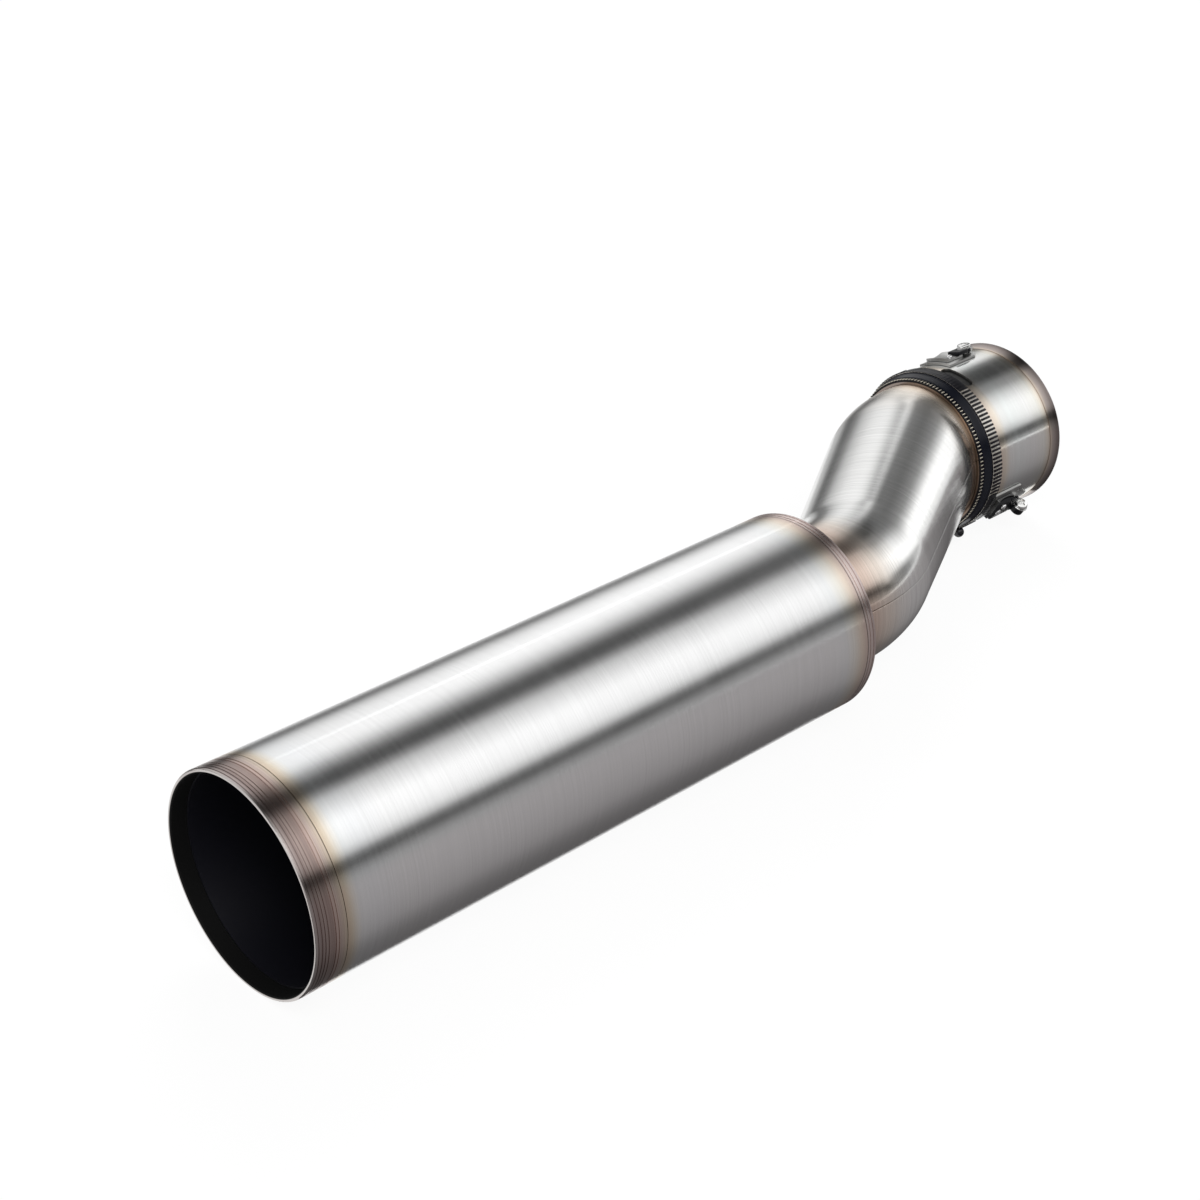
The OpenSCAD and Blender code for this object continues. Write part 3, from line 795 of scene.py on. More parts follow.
@dataclass
class OffsetPipe:
    """The pipe between can and collar: two pressed halves lofted along two equal bends.

    Args:
        start_x: Place where the pipe begins, inside the can.
        end_x: Place where the pipe ends, inside the collar.
        axis: The can's axis.
        base_r: Outer radius at the can.
        end_r: Outer radius at the collar.
        wall: Thickness of the wall.
        bend: Angle of both bends.
        base_bend_r: Centreline radius of the bend at the can.
        end_bend_r: Centreline radius of the bend at the collar.
        base_straight: Length from the start to the first bend.
        seam_gap: Gap between the halves.
        seam_tilt: Tilt of the seam from the plane of the bends.
        lip: Radius of the seam's rounded outer edges.
        overlap: How far the inner edges of the halves run into each other.
        shown: Length from the start to where the pipe comes out of the can.
        hidden: Length of its end under the clamp ring.
        steps_around: Faces around the outside of a half.
        step_along: Greatest length of a face.
        lengths: Lengths of the stretches along the centreline, worked out from the others.
    """

    start_x: float
    end_x: float
    axis: Axis
    base_r: float = 37.2 * MM
    end_r: float = 41.6 * MM
    wall: float = 1.5 * MM
    bend: float = math.radians(30.3)
    base_bend_r: float = 76 * MM
    end_bend_r: float = 48 * MM
    base_straight: float = 26.6 * MM
    seam_gap: float = 0.3 * MM
    seam_tilt: float = math.radians(12)
    lip: float = 0.1 * MM
    overlap: float = 0.01 * MM
    shown: float = 17 * MM
    hidden: float = 9.4 * MM
    steps_around: int = 72
    step_along: float = 2 * MM
    lengths: dict[str, float] = field(default_factory=dict)

    @classmethod
    def from_frame(cls, can: Can) -> "OffsetPipe":
        """Returns the pipe between the places that the frame gives."""
        low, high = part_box("pipe_upper_half")
        return cls(low.x, high.x, can.axis)

    def __post_init__(self) -> None:
        """Works out the lengths of the five stretches along the centreline."""
        offset = math.hypot(self.axis.y, self.axis.z)
        bends = self.base_bend_r + self.end_bend_r
        cone = (offset - bends * (1 - math.cos(self.bend))) / math.sin(self.bend)
        run = bends * math.sin(self.bend) + cone * math.cos(self.bend)
        self.lengths = {
            "base": self.base_straight, "base_bend": self.base_bend_r * self.bend, "cone": cone,
            "end_bend": self.end_bend_r * self.bend,
            "end": self.end_x - self.start_x - self.base_straight - run}

    @property
    def total(self) -> float:
        """Returns the length of the whole centreline."""
        return sum(self.lengths.values())

    def station(self, along: float) -> tuple[float, float, float, float]:
        """Follows the centreline for a length.

        Args:
            along: Length from the pipe's start.

        Returns:
            X from the start, distance from the can's axis, direction and radius.
        """
        x = side = turned = 0.0
        left = along
        for name, radius in (("base", None), ("base_bend", self.base_bend_r), ("cone", None),
                             ("end_bend", -self.end_bend_r), ("end", None)):
            step = left if name == "end" else min(left, self.lengths[name])
            if radius is None:
                x += step * math.cos(turned)
                side += step * math.sin(turned)
            else:
                after = turned + step / radius
                x += radius * (math.sin(after) - math.sin(turned))
                side += radius * (math.cos(turned) - math.cos(after))
                turned = after
            left -= step
            if left <= 0:
                break
        cone_from = self.lengths["base"] + self.lengths["base_bend"]
        share = min(max((along - cone_from) / self.lengths["cone"], 0.0), 1.0)
        return x, side, turned, self.base_r + (self.end_r - self.base_r) * share

    def place(self, along: float, radius_change: float, angle: float) -> tuple[Vector, Vector]:
        """Finds a point of the pipe's wall.

        Args:
            along: Length along the centreline.
            radius_change: Distance outwards from the outer wall.
            angle: Angle around the centreline, from the side towards the collar's axis.

        Returns:
            The point, and its place on a straight pipe of even radius.
        """
        x, side, turned, radius = self.station(along)
        radius += radius_change
        across, up = radius * math.cos(angle), radius * math.sin(angle)
        local = Vector((x - across * math.sin(turned), side + across * math.cos(turned), up))
        roll = math.atan2(-self.axis.z, -self.axis.y)
        y = local.y * math.cos(roll) - local.z * math.sin(roll)
        z = local.y * math.sin(roll) + local.z * math.cos(roll)
        point = Vector((self.start_x + local.x, self.axis.y + y, self.axis.z + z))
        even = self.base_r + radius_change
        return point, Vector((along, even * math.cos(angle), even * math.sin(angle)))

    def _profile(self, half: Half) -> list[Pair]:
        """Returns one half's section, as angles and changes of radius."""
        margin = math.asin(self.seam_gap / 2 / self.base_r)
        start = math.radians(half.value) - self.seam_tilt + margin
        sweep = math.pi - 2 * margin
        corner = self.lip / self.base_r
        outside = [(start + corner + (sweep - 2 * corner) * i / self.steps_around, 0.0)
                   for i in range(self.steps_around + 1)]
        rounding = [(corner * (1 - math.sin(turn)), -self.lip * (1 - math.cos(turn)))
                    for turn in map(math.radians, (30, 60, 90))]
        inner_steps = self.steps_around // 3
        meet = margin + self.overlap / self.base_r
        inside = [(start - meet + (sweep + 2 * meet) * (1 - i / inner_steps), -self.wall)
                  for i in range(inner_steps + 1)]
        return outside + [(start + sweep - turn, change) for turn, change in rounding] + inside + [
            (start + turn, change) for turn, change in reversed(rounding)]

    def half_mesh(self, half: Half, name: str) -> Object:
        """Makes one half of the pipe as a closed wall with rounded seam edges.

        Args:
            half: Which half it is.
            name: Name of the object.

        Returns:
            The half, marked for its brushed finish.
        """
        rows = math.ceil(self.total / self.step_along)
        section = self._profile(half)
        cols = len(section)
        placed = [self.place(self.total * row / rows, change, angle)
                  for row in range(rows + 1) for angle, change in section]
        ends = [range(cols), range(rows * cols, (rows + 1) * cols)]
        shape = shape_of([point for point, _ in placed], grid(rows + 1, cols, cols_meet=True) + ends)
        bmesh.ops.triangulate(shape, faces=list(shape.faces)[-2:])
        bmesh.ops.recalc_face_normals(shape, faces=shape.faces)
        made = object_of(name, shape)
        smooth_by_angle(made, 50)
        straight = {tuple(round(part, 7) for part in point): flat for point, flat in placed}
        mark_straight(made.data, lambda point: straight[tuple(round(part, 7) for part in point)])
        return made

    def finish(self) -> BrushedSteel:
        """Returns the pipe's brushed steel, with rose-brown tints at both ends."""
        ring = self.total - self.hidden
        tints = stops(0.0, (0, (0.80, 0.62, 0.53))) + stops(
            self.shown, (0, (0.80, 0.62, 0.53)), (8, (0.88, 0.72, 0.63)), (15, (0.96, 0.86, 0.78)),
            (22, (1.0, 0.97, 0.94)), (30, (1.0, 1.0, 1.0))) + stops(
            ring, (-40, (1.0, 1.0, 1.0)), (-22, (1.0, 0.97, 0.94)), (-10, (0.98, 0.91, 0.83)),
            (-3, (0.92, 0.79, 0.67)), (1.5, (0.68, 0.53, 0.40))) + stops(self.total, (0, (0.46, 0.35, 0.26)))
        # soot_r just under the outer wall blackens the inside with soot and the seam's edges with painted shade.
        return BrushedSteel("tinted_pipe_steel", (0.80, 0.80, 0.79), tints, roughness=0.15, anisotropy=0.6,
                            line_pitch=0.26 * MM, contrast=0.28, soot_r=self.base_r - 0.4 * MM, lean=0.9,
                            dull_from=ring - 18 * MM)

    def build(self) -> None:
        """Makes and dresses both halves."""
        material = self.finish().build()
        for half, node in ((Half.UPPER, "pipe_upper_half"), (Half.LOWER, "pipe_lower_half")):
            dress(self.half_mesh(half, node + "_look"), material, "tinted_pipe_steel", [node])


@dataclass
class InletCollar:
    """The slotted socket with its flared lip and its gasket.

    Args:
        neck_x: Place of the narrow neck's front edge.
        mouth_x: Place of the socket's mouth.
        body_len: Length of the wide body up to the mouth.
        soot_r: Distance from the axis inside which the socket is black.
        soot_len: Length up to the mouth that is black inside.
        gasket_x: Distances of the gasket's two ends from the mouth.
        gasket_r: Inner and outer radius of the gasket.
        gasket_bevel: Radius of its rounded corners.
        gasket_steps: Faces around it.
    """

    neck_x: float
    mouth_x: float
    body_len: float = 53 * MM
    soot_r: float = 44.9 * MM
    soot_len: float = 59.5 * MM
    gasket_x: Pair = (58.7 * MM, 42.7 * MM)
    gasket_r: Pair = (43.2 * MM, 44.4 * MM)
    gasket_bevel: float = 0.2 * MM
    gasket_steps: int = 128

    @classmethod
    def from_frame(cls) -> "InletCollar":
        """Returns the collar with its places read from the frame."""
        low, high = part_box("inlet_collar")
        return cls(low.x, high.x)

    def finish(self) -> BrushedSteel:
        """Returns the collar's finish: tan beside the ring, straw and purple at the lip."""
        tints = stops(self.neck_x, (0, (0.34, 0.28, 0.25))) + stops(
            self.mouth_x - self.body_len, (-4, (0.66, 0.55, 0.47)), (1, (0.86, 0.74, 0.64)),
            (5, (0.97, 0.88, 0.77)), (9, (0.96, 0.96, 0.95)), (16, (0.97, 1.0, 1.0))) + stops(
            self.mouth_x, (-22, (1.0, 1.0, 1.0)), (-13, (0.98, 0.97, 0.93)), (-9.5, (0.96, 0.89, 0.79)),
            (-7.5, (0.76, 0.66, 0.57)), (-5, (0.46, 0.40, 0.38)), (-2.5, (0.27, 0.23, 0.22)),
            (-1, (0.24, 0.20, 0.20)), (0, (0.50, 0.47, 0.46)))
        return BrushedSteel("brushed_collar_steel", (0.84, 0.84, 0.83), tints, roughness=0.14, anisotropy=0.5,
                            soot_r=self.soot_r, soot_from=self.mouth_x - self.soot_len)

    def build(self) -> None:
        """Makes and dresses the collar and its gasket."""
        dress_turned("inlet_collar", COLLAR_AXIS, self.finish().build(), "brushed_collar_steel")
        front, rear = (self.mouth_x - away for away in self.gasket_x)
        inner, outer = self.gasket_r
        gasket = lathe("socket_gasket", ((front, inner), (rear, inner), (rear, outer), (front, outer)),
                       self.gasket_bevel, self.gasket_steps)
        smooth_by_angle(gasket)
        dress(gasket, BlackEnamel("gasket_graphite", (0.01, 0.01, 0.01), 0.6).build(), "black_liner")


@dataclass
class ClampRing:
    """The black clamp ring around the collar: a toothed ring, a plain band and a ribbed ring.

    Args:
        pattern: Geometry Nodes tree for the teeth and ribs.
        teeth: Number of teeth or ribs in a full turn.
        tooth_h: Height of the teeth and ribs.
        tooth_w: Width of a tooth of the front ring.
        rib_w: Width of a rib of the rear ring.
        tooth_bevel: Radius of the rounded edges of the teeth and ribs.
        land_w: Width of the low blocks that fill the arcs without ribs.
        land_bevel: Radius of their rounded edges.
        foot: Depth of teeth, ribs and blocks in the ring.
        wall: Wall of each ring under its teeth.
        ring_bevel: Radius of the rings' rounded corners.
        ring_steps: Faces around each ring.
        plain_slot: Angles in degrees beside the slot that carry no ribs.
        plain_lug: Angles in degrees beside the lower lug that carry no ribs.
    """

    pattern: RingPattern
    teeth: int = 128
    tooth_h: float = 0.8 * MM
    tooth_w: float = 0.7 * MM
    rib_w: float = 1.3 * MM
    tooth_bevel: float = 0.22 * MM
    land_w: float = 2.9 * MM
    land_bevel: float = 0.1 * MM
    foot: float = 0.15 * MM
    wall: float = 0.6 * MM
    ring_bevel: float = 0.12 * MM
    ring_steps: int = 256
    plain_slot: Pair = (60.0, 112.0)
    plain_lug: Pair = (197.0, 225.6)

    def _arcs(self) -> list[tuple[float, int]]:
        """Returns the start in degrees and the number of ribs of the two ribbed arcs."""
        pitch = 360 / self.teeth
        arcs = ((self.plain_slot[1], self.plain_lug[0]), (self.plain_lug[1], 360 + self.plain_slot[0]))
        return [(start + pitch / 2, int((end - start) / pitch)) for start, end in arcs]

    def _toothed(self, node: str, width: float, arcs: Sequence[tuple[float, int]], finish: BlackEnamel) -> None:
        """Makes one ring with its teeth.

        Args:
            node: The CAD node that it replaces.
            width: Width of a tooth around the ring.
            arcs: Start in degrees and number of teeth of each toothed arc.
            finish: The ring's finish.
        """
        low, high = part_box(node)
        length = high.x - low.x
        root = high.y - self.tooth_h
        inner = root - self.wall
        body = lathe(node + "_look", ((low.x, inner), (high.x, inner), (high.x, root), (low.x, root)),
                     self.ring_bevel, self.ring_steps)
        tooth = bevelled_block(node + "_tooth", (length - 0.1 * MM, width, self.tooth_h + self.foot),
                               self.tooth_bevel)
        runs = [(tooth, start, count) for start, count in arcs]
        if len(arcs) > 1:
            land = bevelled_block(node + "_land", (length + 0.04 * MM, self.land_w, self.tooth_h / 2 + self.foot),
                                  self.land_bevel)
            runs += [(land, start, int((end - start) * self.teeth / 360) + 1)
                     for start, end in (self.plain_slot, self.plain_lug)]
        self.pattern.finish(body, [{
            "Piece": piece, "Count": count, "Place X": (low.x + high.x) / 2, "Radius": root - self.foot,
            "Start": math.radians(start), "Step": math.tau / self.teeth}
            for piece, start, count in runs], finish.build(), "black_ring", [node])

    def build(self) -> None:
        """Makes and dresses the ring's pieces and its lock screw."""
        front_top, rear_top = (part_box(node)[1].y for node in ("front_toothed_ring", "rear_ribbed_ring"))
        rear_root = rear_top - self.tooth_h
        # Front teeth: bare metal on their tips, as worn edges and painted glints.
        self._toothed("front_toothed_ring", self.tooth_w, [(0.0, self.teeth)], BlackEnamel(
            "toothed_black", wear_and_glint_from=front_top - 0.45 * MM, wear_and_glint_to=front_top - 0.2 * MM, wear_and_glint=1.0))
        # Rear ribs: bare metal at their roots between the ribs, as painted glints.
        self._toothed("rear_ribbed_ring", self.rib_w, self._arcs(), BlackEnamel(
            "ribbed_black", wear_and_glint_from=rear_root + 0.25 * MM, wear_and_glint_to=rear_root + 0.1 * MM,
            wear_and_glint_above=rear_root - 0.03 * MM, wear_and_glint=1.0, bare=(0.78, 0.74, 0.68)))
        dress_turned("clamp_band", COLLAR_AXIS, BlackEnamel("band_black", (0.004, 0.005, 0.009)).build(),
                     "black_ring")
        screw = merged_copy("lock_screw")
        smooth_by_angle(screw, 40)
        dress(screw, BlackEnamel("lock_screw_black", roughness=0.10, gloss=0.6).build(), "black_screw",
              ["lock_screw"])


# Outlines of the lugs' turned pieces, as distances from the piece's axis and heights in millimetres.
SCREW = ((0.0, -6.4), (1.4, -6.4), (1.7, -6.1), (1.7, 0.0), (3.55, 0.0), (3.8, 0.2), (3.8, 1.1), (3.65, 1.45),
         (3.1, 1.8), (2.0, 2.1), (0.9, 2.2), (0.0, 2.22))
WASHER = ((1.95, 0.0), (4.2, 0.0), (4.35, 0.15), (4.35, 0.45), (4.2, 0.6), (1.95, 0.6))
NUT = ((1.8, 0.0), (2.9, 0.0), (3.1, 0.2), (3.1, 1.7), (2.9, 1.9), (1.8, 1.9))
RIVET = ((0.0, -2.4), (1.1, -2.4), (1.1, 0.0), (1.7, 0.0), (1.68, 0.35), (1.45, 0.8), (0.9, 1.15), (0.0, 1.3))
BOSS = ((0.0, 0.0), (3.3, 0.0), (3.6, 0.3), (3.6, 2.1), (3.3, 2.4), (0.0, 2.4))


@dataclass(frozen=True)
class Lug:
    """The frame of a screw lug: X along it, Y across it towards the other lug, and Z outwards.

    Args:
        side: Which lug it is.
        angle: Angle around the collar to its middle.
        start_x: Rear end of its strap.
    """

    side: Side
    angle: float
    start_x: float

    @classmethod
    def from_frame(cls, side: Side, degrees: float) -> "Lug":
        """Returns the lug at an angle, with its strap's rear end read from the frame."""
        return cls(side, math.radians(degrees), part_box(side.name.lower() + "_strap")[0].x)

    def spot(self, x: float, y: float, z: float, lying: bool = False) -> dict[str, float]:
        """Finds the pattern inputs that put a piece at a place of the lug, in millimetres.

        Args:
            x: Place along the lug.
            y: Place across it.
            z: Distance from the collar's axis.
            lying: Whether the piece's own Z runs across the lug instead of outwards.

        Returns:
            The inputs by name.
        """
        sense = self.side.value
        shift = sense * math.atan2(y, z)
        lie = -sense * math.pi / 2 if lying else 0.0
        return {"Place X": self.start_x + x * MM, "Radius": math.hypot(y, z) * MM, "Start": self.angle - shift,
                "Roll": shift + lie}


@dataclass
class ScrewLugs:
    """The two screw lugs on the collar, with the places of their pieces in millimetres.

    Args:
        pattern: Geometry Nodes tree that sets the fasteners.
        upper_degrees: Angle around the collar of the lug whose screw stands on it.
        lower_degrees: Angle around the collar of the lug whose screw lies across it.
        upper_screw: The upper screw's place along and across its lug.
        lower_screw: The lower screw's place along its lug and distance from the collar's axis.
        plate: Size of the upper housing's plate.
        plate_at: Place of the plate on its lug.
        boss_z: Distance of the boss under the upper screw from the collar's axis.
        recess: Length, width and depth of each blade of the screws' crossed recess.
        recess_z: Height of the recess's floor in the head.
    """

    pattern: RingPattern
    upper_degrees: float = 73.8
    lower_degrees: float = 211.8
    upper_screw: Pair = (22.2, 4.2)
    lower_screw: Pair = (24.6, 52.6)
    plate: Triple = (8.0, 9.0, 2.2)
    plate_at: Triple = (16.0, 4.6, 48.2)
    boss_z: float = 47.6
    recess: Triple = (4.4, 1.15, 1.6)
    recess_z: float = 0.9

    def _set(self, name: str, runs: Sequence[tuple[Object, dict[str, float]]], material: Material, slot: str,
             nodes: Sequence[str]) -> None:
        """Makes one piece of the look from copies of pattern pieces.

        Args:
            name: Name of the look's piece.
            runs: Each pattern piece with the inputs that place it.
            material: The piece's material.
            slot: Name of the material slot.
            nodes: The CAD nodes that it replaces.
        """
        body = new_object(name, bpy.data.meshes.new(name))
        self.pattern.finish(body, [{"Piece": piece, "Count": 1, **spot} for piece, spot in runs], material,
                            slot, nodes)

    def _cross(self) -> list[Object]:
        """Returns the two blades of the crossed recess."""
        length, width, depth = self.recess
        blades = [bevelled_block("recess", (x * MM, y * MM, depth * MM), 0.12 * MM)
                  for x, y in ((length, width), (width, length))]
        for blade in blades:
            blade.data.transform(Matrix.Translation((0.0, 0.0, self.recess_z * MM)))
        return blades

    def _fasteners(self, upper: Lug, lower: Lug) -> None:
        """Makes the screws, washers, nuts and rivets of both lugs."""
        x, y = self.upper_screw
        low_x, low_z = self.lower_screw
        zinc = BrightMetal("fastener_zinc", (0.90, 0.90, 0.89), roughness=0.13).build()
        bright = BrightMetal("rivet_steel", (0.92, 0.92, 0.92), roughness=0.10).build()
        for kind, profile, steps, material, slot, spots in (
                ("screw", SCREW, 64, zinc, "zinc_steel",
                 (upper.spot(x, y, 50.6), lower.spot(low_x, -0.6, low_z, lying=True))),
                ("washer", WASHER, 64, zinc, "zinc_steel",
                 (upper.spot(x, y, 50.0), lower.spot(low_x, -1.3, low_z, lying=True))),
                ("nut", NUT, 6, zinc, "zinc_steel",
                 (upper.spot(x, y, 47.7), lower.spot(low_x, -5.7, low_z, lying=True))),
                ("rivet", RIVET, 48, bright, "bright_steel",
                 (upper.spot(7.5, 5.2, 48.7), lower.spot(6.7, 4.4, 50.9), lower.spot(5.6, -0.4, 50.6)))):
            piece = turned_piece(kind + "_piece", profile, steps)
            if kind == "screw":
                cut(piece, self._cross())
            self._set(kind + "s_look", [(piece, spot) for spot in spots], material, slot,
                      ("upper_" + kind, "lower_" + kind))

    def _upper_housing(self, upper: Lug) -> None:
        """Makes the low black housing of the upper lug, with a boss under its screw."""
        plate = bevelled_block("plate_piece", tuple(part * MM for part in self.plate), 0.7 * MM, 3)
        boss = turned_piece("boss_piece", BOSS, 48)
        runs = ((plate, upper.spot(*self.plate_at)), (boss, upper.spot(*self.upper_screw, self.boss_z)))
        self._set("upper_housing_look", runs, BlackEnamel("upper_housing_black", roughness=0.3).build(),
                  "black_housing", ["upper_housing"])

    def build(self) -> None:
        """Makes and dresses both lugs."""
        strap = BrightMetal("strap_steel", (0.50, 0.50, 0.49), roughness=0.30).build()
        # The lower saddle is painted shade: dark steel standing for the shadow under the lower strap.
        painted_shade_saddle = BrightMetal("saddle_black_steel", (0.12, 0.12, 0.12), roughness=0.26).build()
        enamel = BlackEnamel("lower_housing_black", roughness=0.3).build()
        for node, slot, material in (
                ("upper_strap", "strap_steel", strap), ("upper_saddle", "strap_steel", strap),
                ("lower_strap", "strap_steel", strap), ("lower_saddle", "black_housing", painted_shade_saddle),
                ("lower_housing", "black_housing", enamel)):
            dress_turned(node, COLLAR_AXIS, material, slot)
        upper = Lug.from_frame(Side.UPPER, self.upper_degrees)
        self._upper_housing(upper)
        self._fasteners(upper, Lug.from_frame(Side.LOWER, self.lower_degrees))


# Brightness of the tent by the angle around the pipe in degrees, for each of its bands along X.
CAN_BAND = ((-20, 0.25), (-6, 0.14), (2, 0.20), (10, 0.62), (20, 0.88), (32, 0.94), (44, 0.88), (56, 0.78),
            (66, 0.55), (74, 0.24), (82, 0.08), (92, 0.06), (98, 0.25), (104, 0.60), (116, 0.86), (128, 1.08),
            (140, 1.05), (150, 0.92), (156, 0.62), (161, 0.14), (167, 0.06), (172, 0.22), (178, 0.34),
            (200, 0.34))
NECK_BAND = ((-20, 0.20), (0, 0.15), (8, 0.45), (20, 0.74), (33, 0.48), (43, 0.30), (53, 0.20), (70, 0.12),
             (86, 0.28), (96, 0.35), (107, 0.66), (116, 0.86), (132, 1.05), (142, 1.0), (152, 0.75),
             (160, 0.25), (168, 0.15), (178, 0.30), (200, 0.34))
COLLAR_BAND = ((-20, 0.30), (5, 0.15), (16, 0.35), (22, 0.66), (28, 0.92), (40, 1.0), (46, 0.60), (52, 0.18),
               (60, 0.04), (78, 0.0), (84, 0.08), (90, 0.22), (100, 0.30), (106, 0.50), (112, 0.74),
               (124, 1.08), (136, 1.15), (148, 1.12), (156, 1.0), (162, 0.80), (166, 0.30), (169, 0.04),
               (174, 0.05), (178, 0.30), (200, 0.36))
AFTER_BAND = ((-20, 0.25), (20, 0.40), (32, 0.38), (43, 0.28), (52, 0.22), (68, 0.17), (86, 0.20), (98, 0.32),
              (110, 0.60), (131, 1.2), (153, 1.0), (165, 0.35), (175, 0.28), (200, 0.34))
FAR_BAND = ((-20, 0.16), (50, 0.15), (79, 0.17), (92, 0.45), (107, 1.0), (132, 1.4), (150, 1.0), (162, 0.25),
            (200, 0.30))
FARTHER_BAND = ((-20, 0.25), (56, 0.30), (80, 0.32), (99, 0.75), (124, 1.4), (145, 1.4), (156, 0.60),
                (164, 0.20), (200, 0.30))
END_BAND = ((-20, 1.3), (140, 1.3), (160, 0.60), (200, 0.50))
TENT_BANDS = ((-6.0, CAN_BAND), (1.75, CAN_BAND), (2.0, NECK_BAND), (2.15, NECK_BAND), (2.25, COLLAR_BAND),
              (2.5, COLLAR_BAND), (2.64, AFTER_BAND), (3.5, FAR_BAND), (5.2, FARTHER_BAND), (9.0, END_BAND),
              (40.0, END_BAND))
TENT_X = (-6.0, 1.75, 1.87, 2.0, 2.15, 2.2, 2.25, 2.5, 2.57, 2.64, 2.9, 3.2, 3.5, 4.0, 4.6, 5.2, 7.0, 9.0, 40.0)
# Edge of the front board along the floor, and its brightness by distance from that edge, darkest at the edge as a
# painted shadow of the pipe; and the back board's brightness by its place along Y.
SHADE_BOARD_EDGE = ((-3.0, -0.109), (-0.27, -0.109), (-0.22, -0.098), (-0.10, -0.040), (-0.05, -0.034),
              (0.25, -0.034), (0.40, 0.03), (1.0, 0.05))
SHADE_BOARD_FALL = ((0.0, 0.10), (0.0135, 0.12), (0.0225, 0.14), (0.033, 0.185), (0.0445, 0.24), (0.0595, 0.275),
              (0.08, 0.30), (0.11, 0.325), (0.16, 0.34), (0.3, 0.36), (3.0, 0.36))
BACK_FALL = ((0.17, 0.60), (0.28, 0.52), (0.42, 0.20), (0.6, 0.12), (1.3, 0.14), (2.15, 0.20))


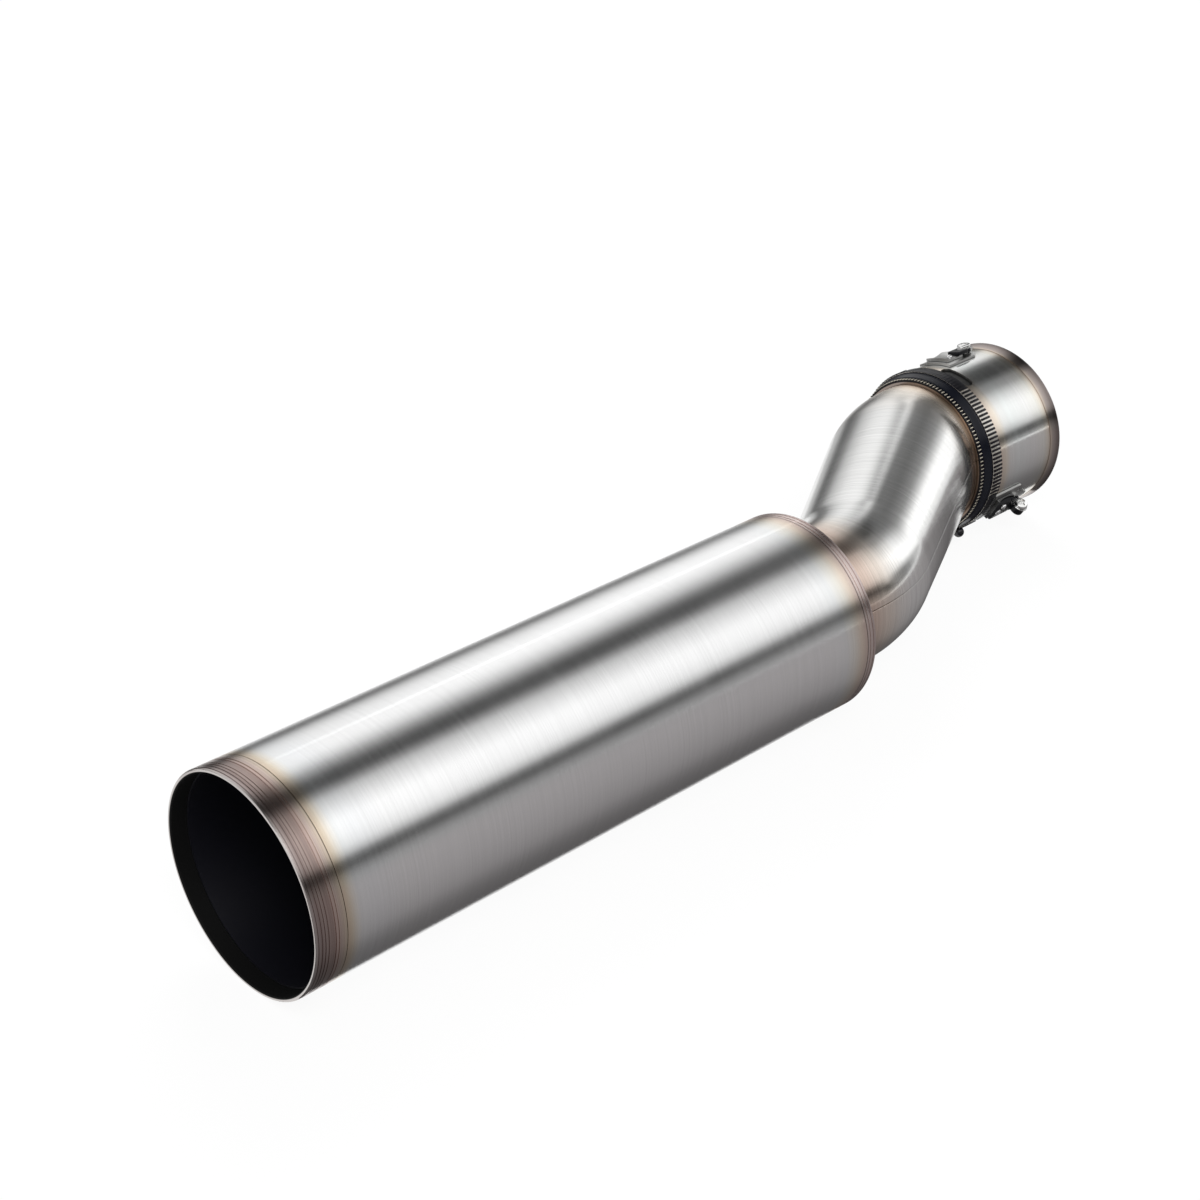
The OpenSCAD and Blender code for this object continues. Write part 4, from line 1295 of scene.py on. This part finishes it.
@dataclass(frozen=True)
class Studio:
    """Floor, world, reflectors, lamps and camera.

    Args:
        floor_z: Height of the floor.
        floor_reach: Distance from the middle of the floor to its sides.
        floor_glow: Strength of the floor's own light where it is seen.
        floor_share: Share of that light in the floor's look.
        world_light: Strength of the world where it only lights.
        tent_r: Radius of the reflecting tent around the pipe.
        tent_degrees: Angles at which the tent begins and ends.
        tent_steps: Faces around the tent.
        board_lift: Height of the boards over the floor.
        shade_board_tint: Colour of the front board, which holds the pipe's painted shadow.
        back_x: Places along X where the back board begins and ends.
        lamps: Name, place and power of each lamp.
        lamp_size: Side of each lamp.
        lamp_target: Place that the lamps shine at.
        lens: Focal length of the camera in millimetres, on a sensor 36 mm wide.
        camera_at: Place of the camera.
        camera_right: Direction to the right in its picture.
        camera_up: Direction upwards in its picture.
    """

    floor_z: float
    floor_reach: float = 6.0
    floor_glow: float = 1.02
    floor_share: float = 0.9
    world_light: float = 0.55
    tent_r: float = 2.2
    tent_degrees: tuple[int, int] = (-20, 200)
    tent_steps: int = 220
    board_lift: float = 0.4 * MM
    shade_board_tint: Triple = (1.02, 0.975, 0.985)
    back_x: Pair = (-0.75, 1.6)
    lamps: tuple[tuple[str, Triple, float], ...] = (
        ("front_lamp", (-1.4, -2.0, 2.4), 60.0), ("back_lamp", (1.2, 1.8, 2.2), 45.0))
    lamp_size: float = 1.6
    lamp_target: Triple = (-0.3, -0.04, 0.0)
    lens: float = 66.18
    camera_at: Triple = (-0.9779, -0.7009, 0.5263)
    camera_right: Triple = (0.72699, -0.68665, 0.0)
    camera_up: Triple = (0.32903, 0.34836, 0.87771)

    def build(self) -> None:
        """Makes everything that is around the pipe."""
        self._world()
        self._floor()
        self._tent()
        self._boards()
        self._lamps()
        self._camera()

    def _world(self) -> None:
        """Makes a world that is white where it is seen and dimmer where it only lights."""
        graph = ShaderGraph("studio", world=True)
        dim, white = (graph.node("Background", {"Color": (1.0, 1.0, 1.0, 1.0), "Strength": strength})
                      for strength in (self.world_light, 1.0))
        bpy.context.scene.world = graph.finish(graph.blend(graph.seen(), dim, white))

    def _sheet(self, name: str, points: Sequence[Triple], faces: Sequence[Sequence[int]],
               material: Material) -> Object:
        """Makes a stage piece.

        Args:
            name: Name of the object.
            points: Its points.
            faces: Its faces, by point numbers.
            material: Its material.

        Returns:
            The stage piece.
        """
        made = object_of(name, shape_of(points, faces))
        made.data.materials.append(material)
        made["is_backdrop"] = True
        return made

    def _floor(self) -> None:
        """Makes a white floor that keeps a faint shadow."""
        graph = ShaderGraph("floor_white")
        paint = graph.node("BsdfDiffuse", {"Color": (0.8, 0.8, 0.8, 1.0)})
        glow = graph.node("Emission", {"Color": (1.0, 1.0, 1.0, 1.0), "Strength": self.floor_glow})
        share = graph.math("MULTIPLY", graph.seen(), self.floor_share)
        corners = [(x * self.floor_reach, y * self.floor_reach, self.floor_z)
                   for x, y in ((-1, -1), (1, -1), (1, 1), (-1, 1))]
        self._sheet("floor", corners, [range(4)], graph.finish(graph.blend(share, paint, glow)))

    def _lit_sheet(self, name: str, points: Sequence[Triple], cols: int, levels: Sequence[float],
                   colour: Triple = (1.0, 1.0, 1.0)) -> None:
        """Makes a glowing sheet that only reflections see.

        Args:
            name: Name of the object.
            points: A grid of points, row by row.
            cols: Number of points in a row.
            levels: Brightness at each point.
            colour: Colour of the glow.
        """
        graph = ShaderGraph(name + "_cloth")
        level = graph.node("Attribute", attribute_name=LEVEL).outputs["Fac"]
        glow = graph.node("Emission", {"Color": (*colour, 1.0), "Strength": level})
        made = self._sheet(name, points, grid(len(points) // cols, cols), graph.finish(glow.outputs[0]))
        made.data.attributes.new(LEVEL, "FLOAT", "POINT").data.foreach_set("value", levels)
        made.visible_camera = made.visible_diffuse = made.visible_transmission = False
        made.visible_volume_scatter = made.visible_shadow = False

    def _tent(self) -> None:
        """Makes the tent of white cloth and dark strips that the metal reflects.

        Its bands follow each other along X: the can reflects the first, the slanted pipe the second and
        the far ones, and the collar the third.
        """
        first, last = self.tent_degrees
        points, levels = [], []
        for i in range(self.tent_steps + 1):
            degrees = first + (last - first) * i / self.tent_steps
            angle = math.radians(degrees)
            here = [(x, between(band, degrees)) for x, band in TENT_BANDS]
            for x in TENT_X:
                points.append((x, self.tent_r * math.cos(angle), self.tent_r * math.sin(angle)))
                levels.append(between(here, x))
        self._lit_sheet("tent", points, len(TENT_X), levels)

    def _boards(self) -> None:
        """Makes the dark boards on the floor, in front of the pipe as its painted shadow and behind the collar.
        """
        height = self.floor_z + self.board_lift
        # Front board: grey, darkening towards its edge by the pipe as the pipe's painted shadow on the floor.
        points = [(x, y - away, height) for x, y in SHADE_BOARD_EDGE for away, _ in SHADE_BOARD_FALL]
        levels = [level for _ in SHADE_BOARD_EDGE for _, level in SHADE_BOARD_FALL]
        self._lit_sheet("board", points, len(SHADE_BOARD_FALL), levels, self.shade_board_tint)
        points = [(x, y, height) for y, _ in BACK_FALL for x in self.back_x]
        self._lit_sheet("back_board", points, 2, [level for _, level in BACK_FALL for _ in range(2)])

    def _lamps(self) -> None:
        """Makes two soft lamps, high at the front and at the back."""
        for name, place, power in self.lamps:
            data = bpy.data.lights.new(name, "AREA")
            data.size = self.lamp_size
            data.energy = power
            lamp = new_object(name, data)
            lamp.location = place
            lamp.rotation_euler = (Vector(self.lamp_target) - lamp.location).to_track_quat("-Z", "Y").to_euler()

    def _camera(self) -> None:
        """Makes the camera at the photograph's viewing angle."""
        data = bpy.data.cameras.new("camera")
        data.sensor_width = 36.0
        data.lens = self.lens
        data.clip_start = 0.01
        data.clip_end = 50.0
        camera = new_object("camera", data)
        right, up = Vector(self.camera_right), Vector(self.camera_up)
        turn = Matrix((right, up, right.cross(up))).transposed().to_4x4()
        camera.matrix_world = Matrix.Translation(self.camera_at) @ turn
        bpy.context.scene.camera = camera


def main() -> None:
    """Builds every piece around the frame, then the studio."""
    logging.basicConfig(level=logging.INFO, format="%(name)s %(message)s")
    bpy.context.scene.view_settings.view_transform = "Standard"
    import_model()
    cad_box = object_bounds()
    can = Can.from_frame()
    pattern = RingPattern()
    for part in (can, OffsetPipe.from_frame(can), InletCollar.from_frame(), ClampRing(pattern),
                 ScrewLugs(pattern)):
        part.build()
        LOG.info("built %s", type(part).__name__)
    Studio(cad_box[0][2]).build()


if __name__ == "__main__":
    main()
